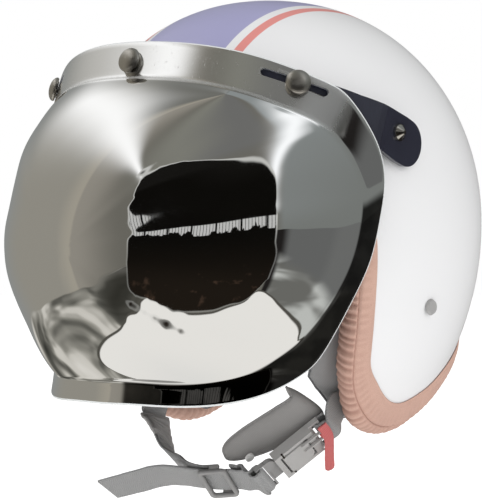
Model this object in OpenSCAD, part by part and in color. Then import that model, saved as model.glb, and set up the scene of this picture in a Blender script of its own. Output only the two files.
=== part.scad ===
// Open face helmet with a flip-up bubble shield.
// Frame: the helmet faces -Y, the wearer's left is +X, +Z is up.
// The origin is the centre of the head space, level with the widest part of the shell.

/* [Shell] */
// Half of the shell's width
half_w = 120; // [114:1:124]
// Reach of the shell forward of the origin
shell_front = 133.5; // [130:0.5:138]
// Reach of the shell behind the origin
shell_rear = 141; // [136:1:150]
// Height of the crown above the origin
crown_h = 138.5; // [134:0.5:144]
// Fullness of the skirt below the widest line
skirt_k = 39.4; // [34:0.2:46]
// Thickness of the moulded shell
shell_t = 4; // [3:0.5:4.5]

/* [Padding] */
// Foam thickness at the crown
foam_t = 29; // [22:1:32]
// Foam thickness at the edge
foam_edge_t = 9; // [7:0.5:10]
// Comfort liner thickness
liner_t = 8; // [5:1:10]
// Cheek pad thickness
cheek_t = 28; // [22:1:30]

/* [Edge trim] */
// Leather thickness
trim_t = 2.2; // [1.6:0.2:2.4]
// Flap width at the face opening
flap_w = 13.5; // [11:0.5:15]
// Radius of the padded roll
roll_r = 7.5; // [6:0.5:8]

/* [Visor] */
// Radius of the snap line, to the outside of the shield
snap_r = 133.5; // [132.5:0.5:134]
// Upward tilt of the band, degrees
tilt = 20.5; // [18:0.5:22]
// Thickness of the shield
shield_t = 2; // [1.6:0.2:2.2]
// Thickness of the band
band_t = 3; // [2.4:0.2:3.2]
// Angle from the middle snap to a side snap
snap_ang = 45.5; // [44:0.5:47]
// Diameter of a snap cap
cap_d = 15; // [13:0.5:15.5]
// Radius of the pivot screw's shoulder
pin_r = 3; // [2.5:0.5:3.5]
// Running clearance round the pivot screw
pin_gap = 0.06; // [0.02:0.02:0.1]

/* [Chin strap] */
// Webbing width
web_w = 24; // [20:1:24]
// Webbing thickness
web_t = 1.8; // [1.4:0.2:2]
// Diameter of the strap rivet's head
rivet_d = 10; // [8:0.5:12]

/* [Hidden] */
$fn = 48;
pw = 2.15;                       // plan exponent of the shell
qw = 2.2;                        // elevation exponent of the shell
crown_c0 = 122.9;
vis_y = -3.3;                    // centre of the snap circle
vis_z = 50.5;
piv = [121, -28, 55.6];          // flip axis, on the left arm
arm_in = 117;                    // inner face of an arm
arm_out = arm_in + band_t;
rivet = [114.3, 10.4, -48.1];
swing = [0, -27, -109.5];          // axis the chin strap swings on
// the buckle lies along the jaw: along the strap, across it, and towards the chin
buckle = [56.4, -42.2, -133.8];
su = unit([-57.4, -52.7, -62.7]);
sw0 = [0.214, -0.836, 0.506];
sw = unit(sw0 - (sw0 * su) * su);
si = cross(su, sw);
// the slider lies under the chin
slide_c = [9.7, -61.3, -153];
tu = unit([-91.3, -38.2, -10.8]);
tw0 = [0.254, -0.772, 0.58];
tw = unit(tw0 - (tw0 * tu) * tu);
ti = cross(tu, tw);

// ---- vectors and curves
function unit(v) = v / norm(v);
function mix(a, b, t) = a + (b - a) * t;
function smooth(t) = let (s = max(0, min(1, t))) s * s * (3 - 2 * s);
function cr(a, b, c, d, t) = 0.5 * (2 * b + (c - a) * t + (2 * a - 5 * b + 4 * c - d) * t * t + (3 * b - a - 3 * c + d) * t * t * t);
// a closed curve of n points through the points P
function ring(P, n) = [for (i = [0:n - 1]) let (s = i * len(P) / n, k = floor(s), m = len(P))
    cr(P[(k + m - 1) % m], P[k], P[(k + 1) % m], P[(k + 2) % m], s - k)];
// an open curve, steps points for each span
function path(P, steps) = [for (k = [0:len(P) - 2]) for (j = [0:steps - (k == len(P) - 2 ? 0 : 1)])
    cr(P[max(k - 1, 0)], P[k], P[k + 1], P[min(k + 2, len(P) - 1)], j / steps)];
// a left half from front or top to back or bottom, closed by its mirror image
function mirrored(H) = concat(H, [for (i = [len(H) - 2:-1:1]) [-H[i][0], H[i][1], H[i][2]]]);
function slerp(a, b, t) = let (w = acos(max(-1, min(1, a * b)))) (sin((1 - t) * w) * a + sin(t * w) * b) / sin(w);

// ---- the shell's form: distance from the origin in direction d
function shell_r(d) =
    let (b = d[1] < 0 ? shell_front : shell_rear,
         c = d[2] > 0 ? mix(crown_c0, crown_h, d[2]) : crown_c0 - skirt_k * d[2])
    pow(pow(pow(abs(d[0]) / half_w, pw) + pow(abs(d[1]) / b, pw), qw / pw) + pow(abs(d[2]) / c, qw), -1 / qw);
// the direction whose shell point lies at plan angle phi (0 ahead, 90 to the left) and height z
function dir_at(phi, z, rho = 105, n = 9) =
    let (v = [rho * sin(phi), -rho * cos(phi), z])
    n == 0 ? unit(v) : let (r = shell_r(unit(v))) dir_at(phi, z, sqrt(max(100, r * r - z * z)), n - 1);

// ---- closed solids from grids of points
function tris(Q, flip = false) = [for (q = Q) each flip ? [[q[2], q[1], q[0]], [q[3], q[2], q[0]]] : [[q[0], q[1], q[2]], [q[0], q[2], q[3]]]];
function band_faces(a, b, n, flip) = tris([for (i = [0:n - 1]) let (j = (i + 1) % n) [a + i, a + j, b + j, b + i]], flip);
// rings share n points each; outer pole first, then m outer rings, inner pole, m inner rings
function dome_faces(n, m, flip = false) =
    let (i0 = n * m + 1)
    concat([for (i = [0:n - 1]) let (t = [0, 1 + (i + 1) % n, 1 + i]) flip ? [t[2], t[1], t[0]] : t],
           [for (k = [0:m - 2]) each band_faces(1 + k * n, 1 + (k + 1) * n, n, flip)],
           band_faces(1 + (m - 1) * n, i0 + 1 + (m - 1) * n, n, flip),
           [for (i = [0:n - 1]) let (t = [i0, i0 + 1 + i, i0 + 1 + (i + 1) % n]) flip ? [t[2], t[1], t[0]] : t],
           [for (k = [0:m - 2]) each band_faces(i0 + 1 + k * n, i0 + 1 + (k + 1) * n, n, !flip)]);
module dome(outer, inner, n, m, flip = false)
    polyhedron(points = concat([outer[0][0]], [for (k = [1:m]) each outer[k]], [inner[0][0]], [for (k = [1:m]) each inner[k]]),
               faces = dome_faces(n, m, flip), convexity = 8);
// a block between two grids of nu by nv points
module block(A, B, flip = false) {
    nu = len(A); nv = len(A[0]); o = nu * nv;
    f = concat(
        [for (i = [0:nu - 2]) for (j = [0:nv - 2]) [i * nv + j, (i + 1) * nv + j, (i + 1) * nv + j + 1, i * nv + j + 1]],
        [for (i = [0:nu - 2]) for (j = [0:nv - 2]) [o + i * nv + j, o + i * nv + j + 1, o + (i + 1) * nv + j + 1, o + (i + 1) * nv + j]],
        [for (i = [0:nu - 2]) [i * nv, o + i * nv, o + (i + 1) * nv, (i + 1) * nv]],
        [for (i = [0:nu - 2]) [i * nv + nv - 1, (i + 1) * nv + nv - 1, o + (i + 1) * nv + nv - 1, o + i * nv + nv - 1]],
        [for (j = [0:nv - 2]) [j, j + 1, o + j + 1, o + j]],
        [for (j = [0:nv - 2]) [(nu - 1) * nv + j, o + (nu - 1) * nv + j, o + (nu - 1) * nv + j + 1, (nu - 1) * nv + j + 1]]);
    polyhedron(points = concat([for (r = A) each r], [for (r = B) each r]),
               faces = tris(f, flip), convexity = 6);
}
// rings of k points swept along a path, closed on itself or capped
module sweep(R, closed = false, flip = false) {
    n = len(R); k = len(R[0]);
    sides = tris([for (s = [0:(closed ? n - 1 : n - 2)]) for (i = [0:k - 1])
                    let (a = s * k, b = ((s + 1) % n) * k, j = (i + 1) % k) [a + i, a + j, b + j, b + i]], flip);
    ends = closed ? [] : [for (i = [1:k - 2]) each let (c = [0, i + 1, i], d = [(n - 1) * k, (n - 1) * k + i, (n - 1) * k + i + 1])
        flip ? [[c[2], c[1], c[0]], [d[2], d[1], d[0]]] : [c, d]];
    polyhedron(points = [for (r = R) each r], faces = concat(sides, ends), convexity = 8);
}
// a flat strip along the path P, with a width direction for each point, and one width or a list of them
function strip(P, W, w, t) = [for (i = [0:len(P) - 1])
    let (a = P[max(i - 1, 0)], b = P[min(i + 1, len(P) - 1)], T = unit(b - a), h = (is_list(w) ? w[i] : w) / 2,
         V = unit(W[i] - (W[i] * T) * T), U = cross(T, V))
    [P[i] + V * h + U * t / 2, P[i] + V * h - U * t / 2, P[i] - V * h - U * t / 2, P[i] - V * h + U * t / 2]];

// ---- edge of the shell: plan angle and height, brow to nape
edge_pz = [[0, 50], [20, 49], [38, 44], [52, 33], [61, 15], [64, -10], [64.5, -38], [65.2, -64], [67, -88], [72.5, -104],
    [81.5, -114.6], [92, -119.8], [103, -119.8], [113, -115.4], [124, -107], [138, -88], [156, -74], [180, -68]];
edge_dir = mirrored([for (e = edge_pz) dir_at(e[0], e[1])]);
pole_dir = unit([0, 0.5, 0.86]);
function edge_ring(n) = [for (d = ring(edge_dir, n)) unit(d)];
// grid of points from the pole to t_end of the way to the edge; depth(t) below the surface
function shell_grid(n, m, t_end, d0, d1) = let (E = edge_ring(n))
    [for (k = [0:m]) let (t = k / m * t_end, dep = mix(d0, d1, smooth(t / 0.72)))
        k == 0 ? [pole_dir * (shell_r(pole_dir) - dep)] :
        [for (e = E) let (d = unit(slerp(pole_dir, e, t))) d * (shell_r(d) - dep)]];

module both() { children(); mirror([1, 0, 0]) children(); }
module along_x(p, r, x0, x1) translate([x0, p[1], p[2]]) rotate([0, 90, 0]) cylinder(r = r, h = x1 - x0);

module shell() color([0.93, 0.93, 0.93]) difference() {
    dome(shell_grid(72, 17, 1, 0, 0), shell_grid(72, 17, 1, shell_t, shell_t), 72, 17);
    both() {
        along_x(piv, 8, 90, 130);
        along_x(rivet, 3, 100, 130);
    }
}
module foam_liner() color([0.12, 0.12, 0.13]) difference() {
    dome(shell_grid(72, 17, 1, shell_t + 0.1, shell_t + 0.1), shell_grid(72, 17, 1, shell_t + foam_t, shell_t + foam_edge_t), 72, 17);
    both() {
        along_x(piv, 11, 90, 130);
        along_x([0, rivet[1], rivet[2]], 20.5, 80, 130);
    }
}
module crown_pad() color([0.16, 0.16, 0.17])
    dome(shell_grid(40, 8, 0.64, shell_t + foam_t + 0.4, shell_t + foam_edge_t + 0.4),
         shell_grid(40, 8, 0.64, shell_t + foam_t + liner_t, shell_t + foam_edge_t + liner_t), 40, 8);

// ---- pads on the foam's inner face: plan angles a0 to a1, heights z0 to z1
// depths are level, and grow by sink towards the lower edge; low gives the lower edge by plan angle
pad_low = [[57, -89], [62, -96], [68, -102], [74, -107.5], [82, -114], [92, -117], [103, -115.5], [110, -111.5]];
function pad_grid(a0, a1, z0, z1, nu, nv, d0, puff, base = 0.5, follow = false, sink = 0) = [for (i = [0:nu]) [for (j = [0:nv])
    let (u = i / nu, v = j / nv, a = mix(a0, a1, u), low = follow ? lookup(a, pad_low) : z0, z = mix(low, z1, v),
         d = dir_at(a, z), p = d * shell_r(d), rho = norm([p[0], p[1]]),
         e = (1 - pow(abs(2 * u - 1), 4)) * (1 - pow(abs(2 * v - 1), 4)),
         q = (rho - d0 - sink * pow(1 - v, 2) - puff * (base + (1 - base) * e)) / rho)
    [p[0] * q, p[1] * q, z]]];
cheek_d = shell_t + foam_edge_t + 5;
module cheek_pad() difference() {
    block(pad_grid(57, 110, 0, -24, 15, 10, cheek_d, 0, 0.6, true, 7), pad_grid(57, 110, 0, -24, 15, 10, cheek_d, cheek_t, 0.6, true, 1), flip = true);
    along_x([0, rivet[1], rivet[2]], 20.5, 91, 130);
}
module left_cheek_pad() color([0.35, 0.35, 0.36]) cheek_pad();
module right_cheek_pad() color([0.35, 0.35, 0.36]) mirror([1, 0, 0]) cheek_pad();
module neck_roll() color([0.3, 0.3, 0.31])
    block(pad_grid(134, 226, -70, -40, 16, 6, shell_t + foam_edge_t + 4, 0), pad_grid(134, 226, -70, -40, 16, 6, shell_t + foam_edge_t + 4, 16), flip = true);

// ---- leather edge trim: a channel that laps the shell and rolls round the foam edge
module edge_trim() {
    n = 96;
    E = edge_ring(n);
    P = [for (e = E) e * shell_r(e)];
    inner = shell_t + foam_edge_t + 0.4;
    R = [for (i = [0:n - 1])
        let (T = unit(P[(i + 1) % n] - P[(i + n - 1) % n]), N0 = unit(E[i] - (E[i] * T) * T), O0 = cross(T, N0),
             low = smooth((-P[i][2] - 80) / 26), fw = mix(flap_w, flap_w + 4, low), r = mix(roll_r - 2.6, roll_r + 1.8, smooth((-P[i][2] - 96) / 18)),
             // back along the shell's own surface from its edge
             d9 = unit(P[i] - O0 * 9), S9 = d9 * shell_r(d9), df = unit(P[i] - O0 * fw * 0.9), SF = df * shell_r(df), dm = unit(P[i] - O0 * fw * 0.5), SM = dm * shell_r(dm),
             B = unit(S9 - P[i]), O = -B, N = unit(N0 - (N0 * B) * B), I0 = P[i] - E[i] * inner, I9 = S9 - d9 * inner,
             q = [[r * 0.55, 0.9], [r * 0.93, -2], [r, -6], [r * 0.8, -10.5]])
        concat([SF + N * 0.5, SF + N * trim_t * 0.65, SM + N * (trim_t + 0.3), P[i] + N * (trim_t + 0.2)], [for (p = q) P[i] + O * p[0] + N * p[1]],
            [I0 + O * r * 0.45 - N * 1.2, I0 - N * 2.1, I9 - N * 2.1, I9 - N * 0.5, I0 + O * 0.6 - N * 0.3, P[i] + O * 0.6 + N * 0.4, SM + N * 0.5])];
    color([0.72, 0.55, 0.47]) sweep(R, closed = true, flip = true);
}

// ---- flip-up band, its pivots and snaps
module visor_frame() translate([0, vis_y, vis_z]) rotate([-tilt, 0, 0]) children();
pivl = [let (v = [0, piv[1] - vis_y, piv[2] - vis_z]) 0, (v0y(piv[1] - vis_y, piv[2] - vis_z)), v0z(piv[1] - vis_y, piv[2] - vis_z)];
function v0y(y, z) = y * cos(tilt) - z * sin(tilt);
function v0z(y, z) = y * sin(tilt) + z * cos(tilt);
band_r = snap_r - shield_t - 0.6;
// plan of the band's outer face in the visor frame, middle to arm end
function bez(a, b, c, d, t) = let (s = 1 - t) s * s * s * a + 3 * s * s * t * b + 3 * s * t * t * c + t * t * t * d;
function band_half(off) = let (r = band_r - off, a = 55, e = [r * sin(a), -r * cos(a)], h = [cos(a), sin(a)])
    concat([for (i = [0:22]) r * [sin(a * i / 22), -cos(a * i / 22)]],
           [for (i = [1:10]) bez(e, e + 13 * h, [arm_out - off, -50], [arm_out - off, -35], i / 10)],
           [[arm_out - off, 6]]);
function flipx(P) = [for (i = [len(P) - 1:-1:0]) [-P[i][0], P[i][1]]];
module band_side() { // seen along X, from the front edge back to the arm's round end
    rotate([90, 0, 90]) translate([0, 0, -160]) linear_extrude(320)
        polygon([[-150, -11], [-90, -12], [-45, -18.8], [-22, -20.8], [-14, -20.6], [-14, 7.2], [-20, 7.5], [-42, 7], [-60, 5.5], [-85, 5.5], [-105, 7.5], [-150, 8]]);
    translate([-160, -14.7, -6.7]) rotate([0, 90, 0]) cylinder(r = 13.9, h = 320, $fn = 64);
}
module radial(a, r0, r1, r) rotate([0, 0, a]) translate([0, -r0, 0]) rotate([90, 0, 0]) cylinder(r = r, h = r1 - r0);
module visor_band() color([0.14, 0.15, 0.2]) visor_frame() difference() {
    intersection() {
        translate([0, 0, -30]) linear_extrude(60)
            polygon(concat(flipx(band_half(0)), [for (i = [1:len(band_half(0)) - 1]) band_half(0)[i]],
                [for (i = [len(band_half(0)) - 1:-1:0]) band_half(band_t)[i]], [for (i = [1:len(band_half(0)) - 1]) [-band_half(band_t)[i][0], band_half(band_t)[i][1]]]));
        band_side();
    }
    translate([-160, pivl[1], pivl[2]]) rotate([0, 90, 0]) cylinder(r = pin_r + pin_gap, h = 320);
    for (a = [-snap_ang, 0, snap_ang]) radial(a, 100, 150, 2);
}
module pivot_bosses() color([0.2, 0.2, 0.22]) both() difference() {
    along_x(piv, 7.9, 98, arm_in - 1.1);
    along_x(piv, 2, 97, 118);
}
module pivot_washers() color([0.75, 0.75, 0.76]) both() difference() {
    along_x(piv, 6.5, arm_in - 1.1, arm_in - 0.1);
    along_x(piv, 2.2, 110, 120);
}
module pivot_screws() color([0.78, 0.76, 0.72]) both() difference() {
    union() {
        along_x(piv, 1.95, 100, arm_in - 0.1);
        along_x(piv, pin_r, arm_in - 0.1, arm_out + 0.15);
        along_x(piv, 5, arm_out + 0.15, arm_out + 1.4);
        translate([arm_out + 1.4, piv[1], piv[2]]) rotate([0, 90, 0]) cylinder(r1 = 4.6, r2 = 1.2, h = 3.2);
    }
}
module snap_studs() color([0.5, 0.49, 0.47]) visor_frame() for (a = [-snap_ang, 0, snap_ang]) rotate([0, 0, a]) translate([0, -band_r, 0]) rotate([90, 0, 0]) {
    translate([0, 0, -band_t - 1]) cylinder(r = 4, h = 0.8);
    translate([0, 0, -band_t - 0.6]) cylinder(r = 1.95, h = band_t + 3.8);
}
module snap_sockets() color([0.35, 0.35, 0.35]) visor_frame() for (a = [-snap_ang, 0, snap_ang]) rotate([0, 0, a]) translate([0, -snap_r - 0.4, 0]) rotate([90, 0, 0])
    difference() {
        translate([0, 0, 0.05]) cylinder(r = 5.2, h = 1.5);
        translate([0, 0, -1]) cylinder(r = 2.05, h = 1.6);
    }
module snap_caps() color([0.55, 0.53, 0.5]) visor_frame() for (a = [-snap_ang, 0, snap_ang]) rotate([0, 0, a]) translate([0, -snap_r - 0.4, 0]) rotate([90, 0, 0])
    difference() {
        rotate_extrude() polygon(concat([[0, 0.4], [cap_d / 2 - 0.7, 0.4], [cap_d / 2, 1.1]], [for (t = [10:10:90]) [cap_d / 2 * cos(t), 1.2 + 4 * sin(t)]]));
        translate([0, 0, -0.1]) cylinder(r = 5.3, h = 1.8);
    }

// ---- bubble shield: one edge loop, one crease loop, and a dome between the crease and the apex
apex = [0, -186, -12];
edge_half = [cyl(0, 12.5), cyl(15, 12.5), cyl(30, 11.5), cyl(43, 8.5), [108, -77.6, 83.4], [116.5, -67.9, 73.7], [124, -55, 51.4], [127, -50.4, 28.9],
    [127, -54.1, 7.6], [124.5, -59.3, -15.9], [118, -66.9, -38.9], [103.5, -74.4, -69], [93.3, -84.1, -84.6], [80.3, -110.4, -96.5],
    [54.9, -136.6, -101.5], [24.8, -150.7, -101.1], [0, -154, -101.1]];
crease_half = [cyl(0, -10.5), cyl(15, -10.5), cyl(30, -11.5), cyl(41, -14.5), [102, -91, 64], [111.5, -78, 53], [118, -68, 37], [121.5, -63, 20],
    [122.3, -65.5, 2], [120, -70.5, -18], [113.5, -78.5, -39], [101, -88, -60.5], [89.5, -99.5, -74], [76, -114.5, -84.5],
    [53.5, -134.7, -89.5], [24.2, -148.4, -89.3], [0, -151.6, -89.1]];
function cyl(a, h) = let (y = -snap_r * cos(a)) [snap_r * sin(a), vis_y + y * cos(tilt) + h * sin(tilt), vis_z - y * sin(tilt) + h * cos(tilt)];
// slope of the dome where it leaves the crease: top, upper side, side, lower side, bottom
slope_key = [52, 60, 82, 68, 40];
function slope(k) = let (s = k <= 16 ? k : 32 - k, j = min(floor(s / 4), 3)) mix(slope_key[j], slope_key[j + 1], smooth(s / 4 - j));
function shield_grid(n, m) = let (B = ring(mirrored(edge_half), n), K = ring(mirrored(crease_half), n))
    concat([[apex]],
        [for (k = [1:m]) [for (i = [0:n - 1]) let (s = slope(i * 32 / n), v = k / m, lat = sin(v * s) / sin(s), dep = (1 - cos(v * s)) / (1 - cos(s)), d = K[i] - apex)
            [d[0] * lat, apex[1] + d[1] * dep, apex[2] + d[2] * lat]]],
        [[for (i = [0:n - 1]) mix(K[i], B[i], 0.5)]], [B]);
function grid_normal(G, k, i) = let (n = len(G[k]),
    a = G[k][(i + 1) % n] - G[k][(i + n - 1) % n], b = (k == len(G) - 1 ? G[k][i] : G[k + 1][i]) - (k == 1 ? G[0][0] : G[k - 1][i])) unit(cross(a, b));
module bubble_shield() {
    n = 72; m = 9;
    G = shield_grid(n, m);
    I = [for (k = [0:m + 2]) k == 0 ? [apex + [0, shield_t, 0]] : [for (i = [0:n - 1]) G[k][i] - shield_t * grid_normal(G, k, i)]];
    color([0.66, 0.67, 0.68]) difference() {
        dome(G, I, n, m + 2, flip = true);
        visor_frame() {
            radial(0, 120, 145, 2.2);
            for (a = [-snap_ang, snap_ang]) { // the side snaps sit in slots
                radial(a, 120, 150, 2.3);
                rotate([0, 0, a]) rotate([0, sign(a) * 5.4, 0]) for (s = [-1, 1]) let (l = s * sign(a) < 0 ? 20 : 16) {
                    translate([s * l, -120, 0]) rotate([90, 0, 0]) cylinder(r = 2.3, h = 30);
                    translate([s > 0 ? 0 : -l, -150, -2.3]) cube([l, 30, 4.6]);
                }
            }
        }
    }
}

// ---- chin strap anchors
module strap_rivets() color([0.66, 0.66, 0.65]) both() {
    along_x(rivet, 2.9, 97.2, rivet[0] + 1.5);
    translate([rivet[0] + 1.1, rivet[1], rivet[2]]) rotate([0, 90, 0]) cylinder(r1 = rivet_d / 2, r2 = rivet_d / 2 - 1, h = 1.6);
}
module anchor_plates() color([0.5, 0.5, 0.52]) both() difference() {
    translate([99, rivet[1] - 11, rivet[2] - 16]) cube([1.8, 22, 25]);
    along_x(rivet, 3, 95, 105);
}
anchor_pts = [[97.6, 9.5, -53], [92.9, 3, -67], [87, -5.5, -79.5], [79.7, -14, -90.5], [74, -20, -98.8]];
module anchor_strap() difference() {
    sweep(strip(path(anchor_pts, 4), [for (i = [0:16]) [0.1, -0.8, 0.55]], web_w - 2.4, web_t));
    along_x(rivet, 3, 90, 130);
}
module left_anchor_strap() color([0.3, 0.3, 0.31]) anchor_strap();
module right_anchor_strap() color([0.3, 0.3, 0.31]) mirror([1, 0, 0]) anchor_strap();

// ---- chin strap: two frames, each along the strap (x), across it (y) and towards the chin (z)
module frame_at(o, x, y, z) multmatrix([[x[0], y[0], z[0], o[0]], [x[1], y[1], z[1], o[1]], [x[2], y[2], z[2], o[2]], [0, 0, 0, 1]]) children();
module strap_frame() frame_at(buckle, su, sw, si) children();
function sf(p) = buckle + su * p[0] + sw * p[1] + si * p[2];
function tf(p) = slide_c + tu * p[0] + tw * p[1] + ti * p[2];
// the strap turns round a bar at the buckle's end, and lies doubled behind it
left_pts = [[71.8, -26.4, -109], [71.8, -28, -114], sf([-25, 0, -1.7]), sf([-20.8, 0, -1.8]), sf([-18.3, 0, -1.5]), sf([-16.8, 0, 0.9]), sf([-18.3, 0, 3.3]),
    sf([-20.8, 0, 3.6]), sf([-23, 0, 3.5]), sf([-25.4, 0, 3.5])];
// the strap's top is round, about the line the strap swings on
top_s = [0.995, 0.94, 0.82, 0.62, 0.34];
function top_path(P) = let (r = (web_w - 2.4) / 2) concat([for (k = top_s) P[0] + unit(P[0] - P[1]) * r * k], P);
function top_width(P) = let (w = web_w - 2.4) [for (i = [0:len(P) + 4]) i < 5 ? w * sqrt(1 - top_s[i] * top_s[i]) : w];
top_w = [0.12, -0.84, 0.5];
module left_strap() color([0.4, 0.4, 0.41]) let (P = path(left_pts, 4))
    sweep(strip(top_path(P), [for (i = [-5:36]) mix(top_w, sw, smooth(i / 8))], top_width(P), web_t));
right_pts = [[-71.6, -26.6, -109], [-71.8, -27.8, -114], [-70.8, -28.6, -122], [-62, -32, -134], [-49, -39.7, -143], [-28.3, -48.5, -147.8], tf([17, -1.5, 8.2]), tf([9, 0, 4.6]), tf([1.5, 0, 4])];
right_w = [-0.12, -0.84, 0.5];
module right_band(w, t) sweep(strip(path(right_pts, 4), [for (i = [0:32]) mix(right_w, tw, smooth(i / 28))], w, t));
module right_strap() color([0.4, 0.4, 0.41]) let (P = path(right_pts, 4))
    sweep(strip(top_path(P), [for (i = [-5:32]) mix(right_w, tw, smooth(i / 28))], top_width(P), web_t));
sleeve_pts = [[-71.2, -28.6, -121], [-68.8, -29.2, -125.5], [-64.8, -30.8, -130.6], [-59.4, -33.4, -136]];
module right_sleeve() color([0.33, 0.33, 0.34]) difference() {
    sweep(strip(path(sleeve_pts, 4), [for (i = [0:12]) mix(right_w, tw, smooth((i + 8) / 28))], 34, 5.4));
    right_band(web_w - 2, web_t + 0.6);
}
// the chin pad lies between the strap and the jaw: its upper and lower edges
pad_hi = [[55, -52.5, -95], [58, -51.5, -101], [49, -55.5, -108], [40.8, -58.5, -113.5], [27.9, -61.7, -121.8], [14.5, -64.5, -132]];
pad_lo = [[59, -34.5, -110], [65.5, -30, -113], [60, -33.5, -120.5], [50.5, -39, -127.5], [33, -48, -136.5], [15.5, -59.5, -142.4]];
module chin_pad() {
    H = path(pad_hi, 3); L = path(pad_lo, 3); nv = 6;
    G = [for (i = [0:len(H) - 1]) [for (j = [0:nv]) mix(L[i], H[i], j / nv)]];
    function nrm(i, j) = let (a = max(i - 1, 0), b = min(i + 1, len(H) - 1)) unit(cross(G[b][j] - G[a][j], H[i] - L[i]));
    function half(i, j) = 0.8 + 2.9 * pow(1 - pow(abs(2 * j / nv - 1), 4), 0.6) * pow(1 - pow(abs(2 * i / (len(H) - 1) - 1), 8), 0.6);
    color([0.33, 0.33, 0.34]) block([for (i = [0:len(H) - 1]) [for (j = [0:nv]) G[i][j] + nrm(i, j) * half(i, j)]],
        [for (i = [0:len(H) - 1]) [for (j = [0:nv]) G[i][j] - nrm(i, j) * half(i, j)]], flip = true);
}

module plate(x0, x1, y, z0, z1) translate([x0, -y, z0]) cube([x1 - x0, 2 * y, z1 - z0]);
module across(x, z, r, y) translate([x, y, z]) rotate([90, 0, 0]) cylinder(r = r, h = 2 * y);
pin = [9.2, -2.7];               // lever pin, in the buckle's frame
ring_c = [-17.5, -4.9];          // bar at the lever's free end, which holds the tab
module buckle_housing() color([0.45, 0.45, 0.45]) strap_frame() difference() {
    union() {
        plate(-13, 15, 12, -3.3, 3.4);
        plate(-20.4, -12.5, 13.4, -0.6, 2.4);
    }
    plate(-11, 16, 7.9, -0.95, 2.15);            // channel for the tongue
    plate(-18.6, -14.6, 11.6, -3, 5);            // slot for the left webbing
    plate(-8.3, 11.7, 9.4, -6, -0.9);            // well for the lever
    across(pin[0], pin[1], 0.8, 14);             // pin hole
}
module lever_pin() color([0.7, 0.7, 0.7]) strap_frame() across(pin[0], pin[1], 0.75, 11.9);
module release_lever() color([0.42, 0.42, 0.42]) strap_frame() difference() {
    union() {
        linear_extrude_at(-4, 1.7) lever_plan();
        across(pin[0], pin[1], 1.35, 8.6);
        plate(-1.65, -0.65, 7.2, -3, -0.88);     // the pawl, drawn as it rides over the teeth's tips
        for (s = [1.2, 7.5]) translate([ring_c[0] - 0.8, s, ring_c[1] - 0.7]) cube([15.5, 1.1, 1.6]);
        translate([0, 4.9, 0]) across(ring_c[0], ring_c[1], 0.8, 3.6);
    }
    across(pin[0], pin[1], 0.81, 14);
}
// square at the hinge, rounded at the free end
module lever_plan() union() {
    translate([-2.5, -8.7]) square([11.7, 17.4]);
    translate([-7.4, -4.2]) square([6, 8.4]);
    for (s = [-1, 1]) translate([-2.8, s * 4.1]) circle(r = 4.6);
}
module linear_extrude_at(z, h) translate([0, 0, z]) linear_extrude(h) children();
module lever_spring() color([0.75, 0.75, 0.75]) strap_frame() for (s = [-1, 1]) translate([pin[0], s * 9 + 0.3, pin[1]]) rotate([90, 0, 0]) difference() {
    cylinder(r = 1.4, h = 0.6);
    translate([0, 0, -1]) cylinder(r = 0.78, h = 3);
}
tab_pts = [sf([-20, 14.5, -6]), sf([-20, 8, -6.6]), sf([-18.8, 1, -7]), sf([-15.5, -7, -7.2]), sf([-11.5, -15.5, -7.8]), sf([-7.4, -24.5, -8.6])];
module release_tab() color([0.83, 0.4, 0.42]) union() {
    strap_frame() translate([0, 4.9, 0]) difference() {
        across(ring_c[0], ring_c[1], 1.9, 2.4);
        across(ring_c[0], ring_c[1], 0.9, 6);
    }
    difference() {
        sweep(strip(path(tab_pts, 3), [for (i = [0:15]) -su], 6.4, 1.6));
        strap_frame() translate([0, 4.9, 0]) across(ring_c[0], ring_c[1], 1.3, 12);
    }
}
module ratchet_tongue() color([0.5, 0.5, 0.5]) strap_frame() difference() {
    union() {
        plate(-7.5, 22, 7.6, -0.2, 1.85);
        for (i = [0:5]) translate([-5.6 + i * 3, 0, -0.2]) rotate([90, 0, 0]) translate([0, 0, -6.6]) linear_extrude(13.2) polygon([[-0.8, 0.1], [0.8, 0.1], [0.8, -0.6]]);
        plate(21.4, 28, 12.6, -1, 1.85);
        translate([20, 7.8, -1]) cylinder(r = 4.6, h = 2.85);
    }
    plate(22.6, 25.6, 11.6, -5, 5);
}
// doubled between the slider and the tongue's bar, then out through the slider to the tail
web_pts = [tf([-11.5, 0, 2.7]), tf([-15.5, 0.6, 1.5]), tf([-20, 1.8, 0.2]), sf([31, 0, 3.5]), sf([28, 0, 3.4]), sf([25.4, 0, 3.0]), sf([23.9, 0, 0.42]), sf([25.4, 0, -2.2]), sf([28, 0, -2.5]),
    sf([30.5, 0, -2.0]), tf([-22.5, 2.6, -3.8]), tf([-16, 1, -2.2]), tf([-9.5, 0, -0.3]), tf([0, 0, 0]), [-4.2, -65, -152.6], [-18, -67, -151.8], [-32.2, -68, -153], [-54.2, -70, -159], [-70.4, -72.8, -163.5]];
web_on = [0, 0, 0.3, 1, 1, 1, 1, 1, 1, 1, 0.3, 0, 0, 0, 0, 0, 0, 0, 0];
module chin_webbing() color([0.45, 0.45, 0.45])
    sweep(strip(path(web_pts, 3), [for (i = [0:54]) let (k = min(floor(i / 3), 17)) mix(tw, sw, mix(web_on[k], web_on[k + 1], i / 3 - k))], web_w - 0.8, web_t));
module slider() color([0.5, 0.5, 0.5]) frame_at(slide_c, tu, tw, ti) translate([0, -0.8, 0]) {
    for (s = [-1, 1]) translate([-9.2, s * 14 - 1.5, -3.5]) cube([18.4, 3, 6.2]);
    for (s = [-1, 1]) translate([s * 7.8 - 1.4, -14, -3.5]) cube([2.8, 28, 2.2]);
    translate([-2.8, -14, 1.2]) cube([2.8, 28, 1.5]);
}
module pad_snap() color([0.8, 0.8, 0.8]) translate([32.7, -59.6, -137.9]) frame_at([0, 0, 0], su, sw, si) translate([0, 0, -1.2]) cylinder(r = 2.8, h = 1.6);

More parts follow.
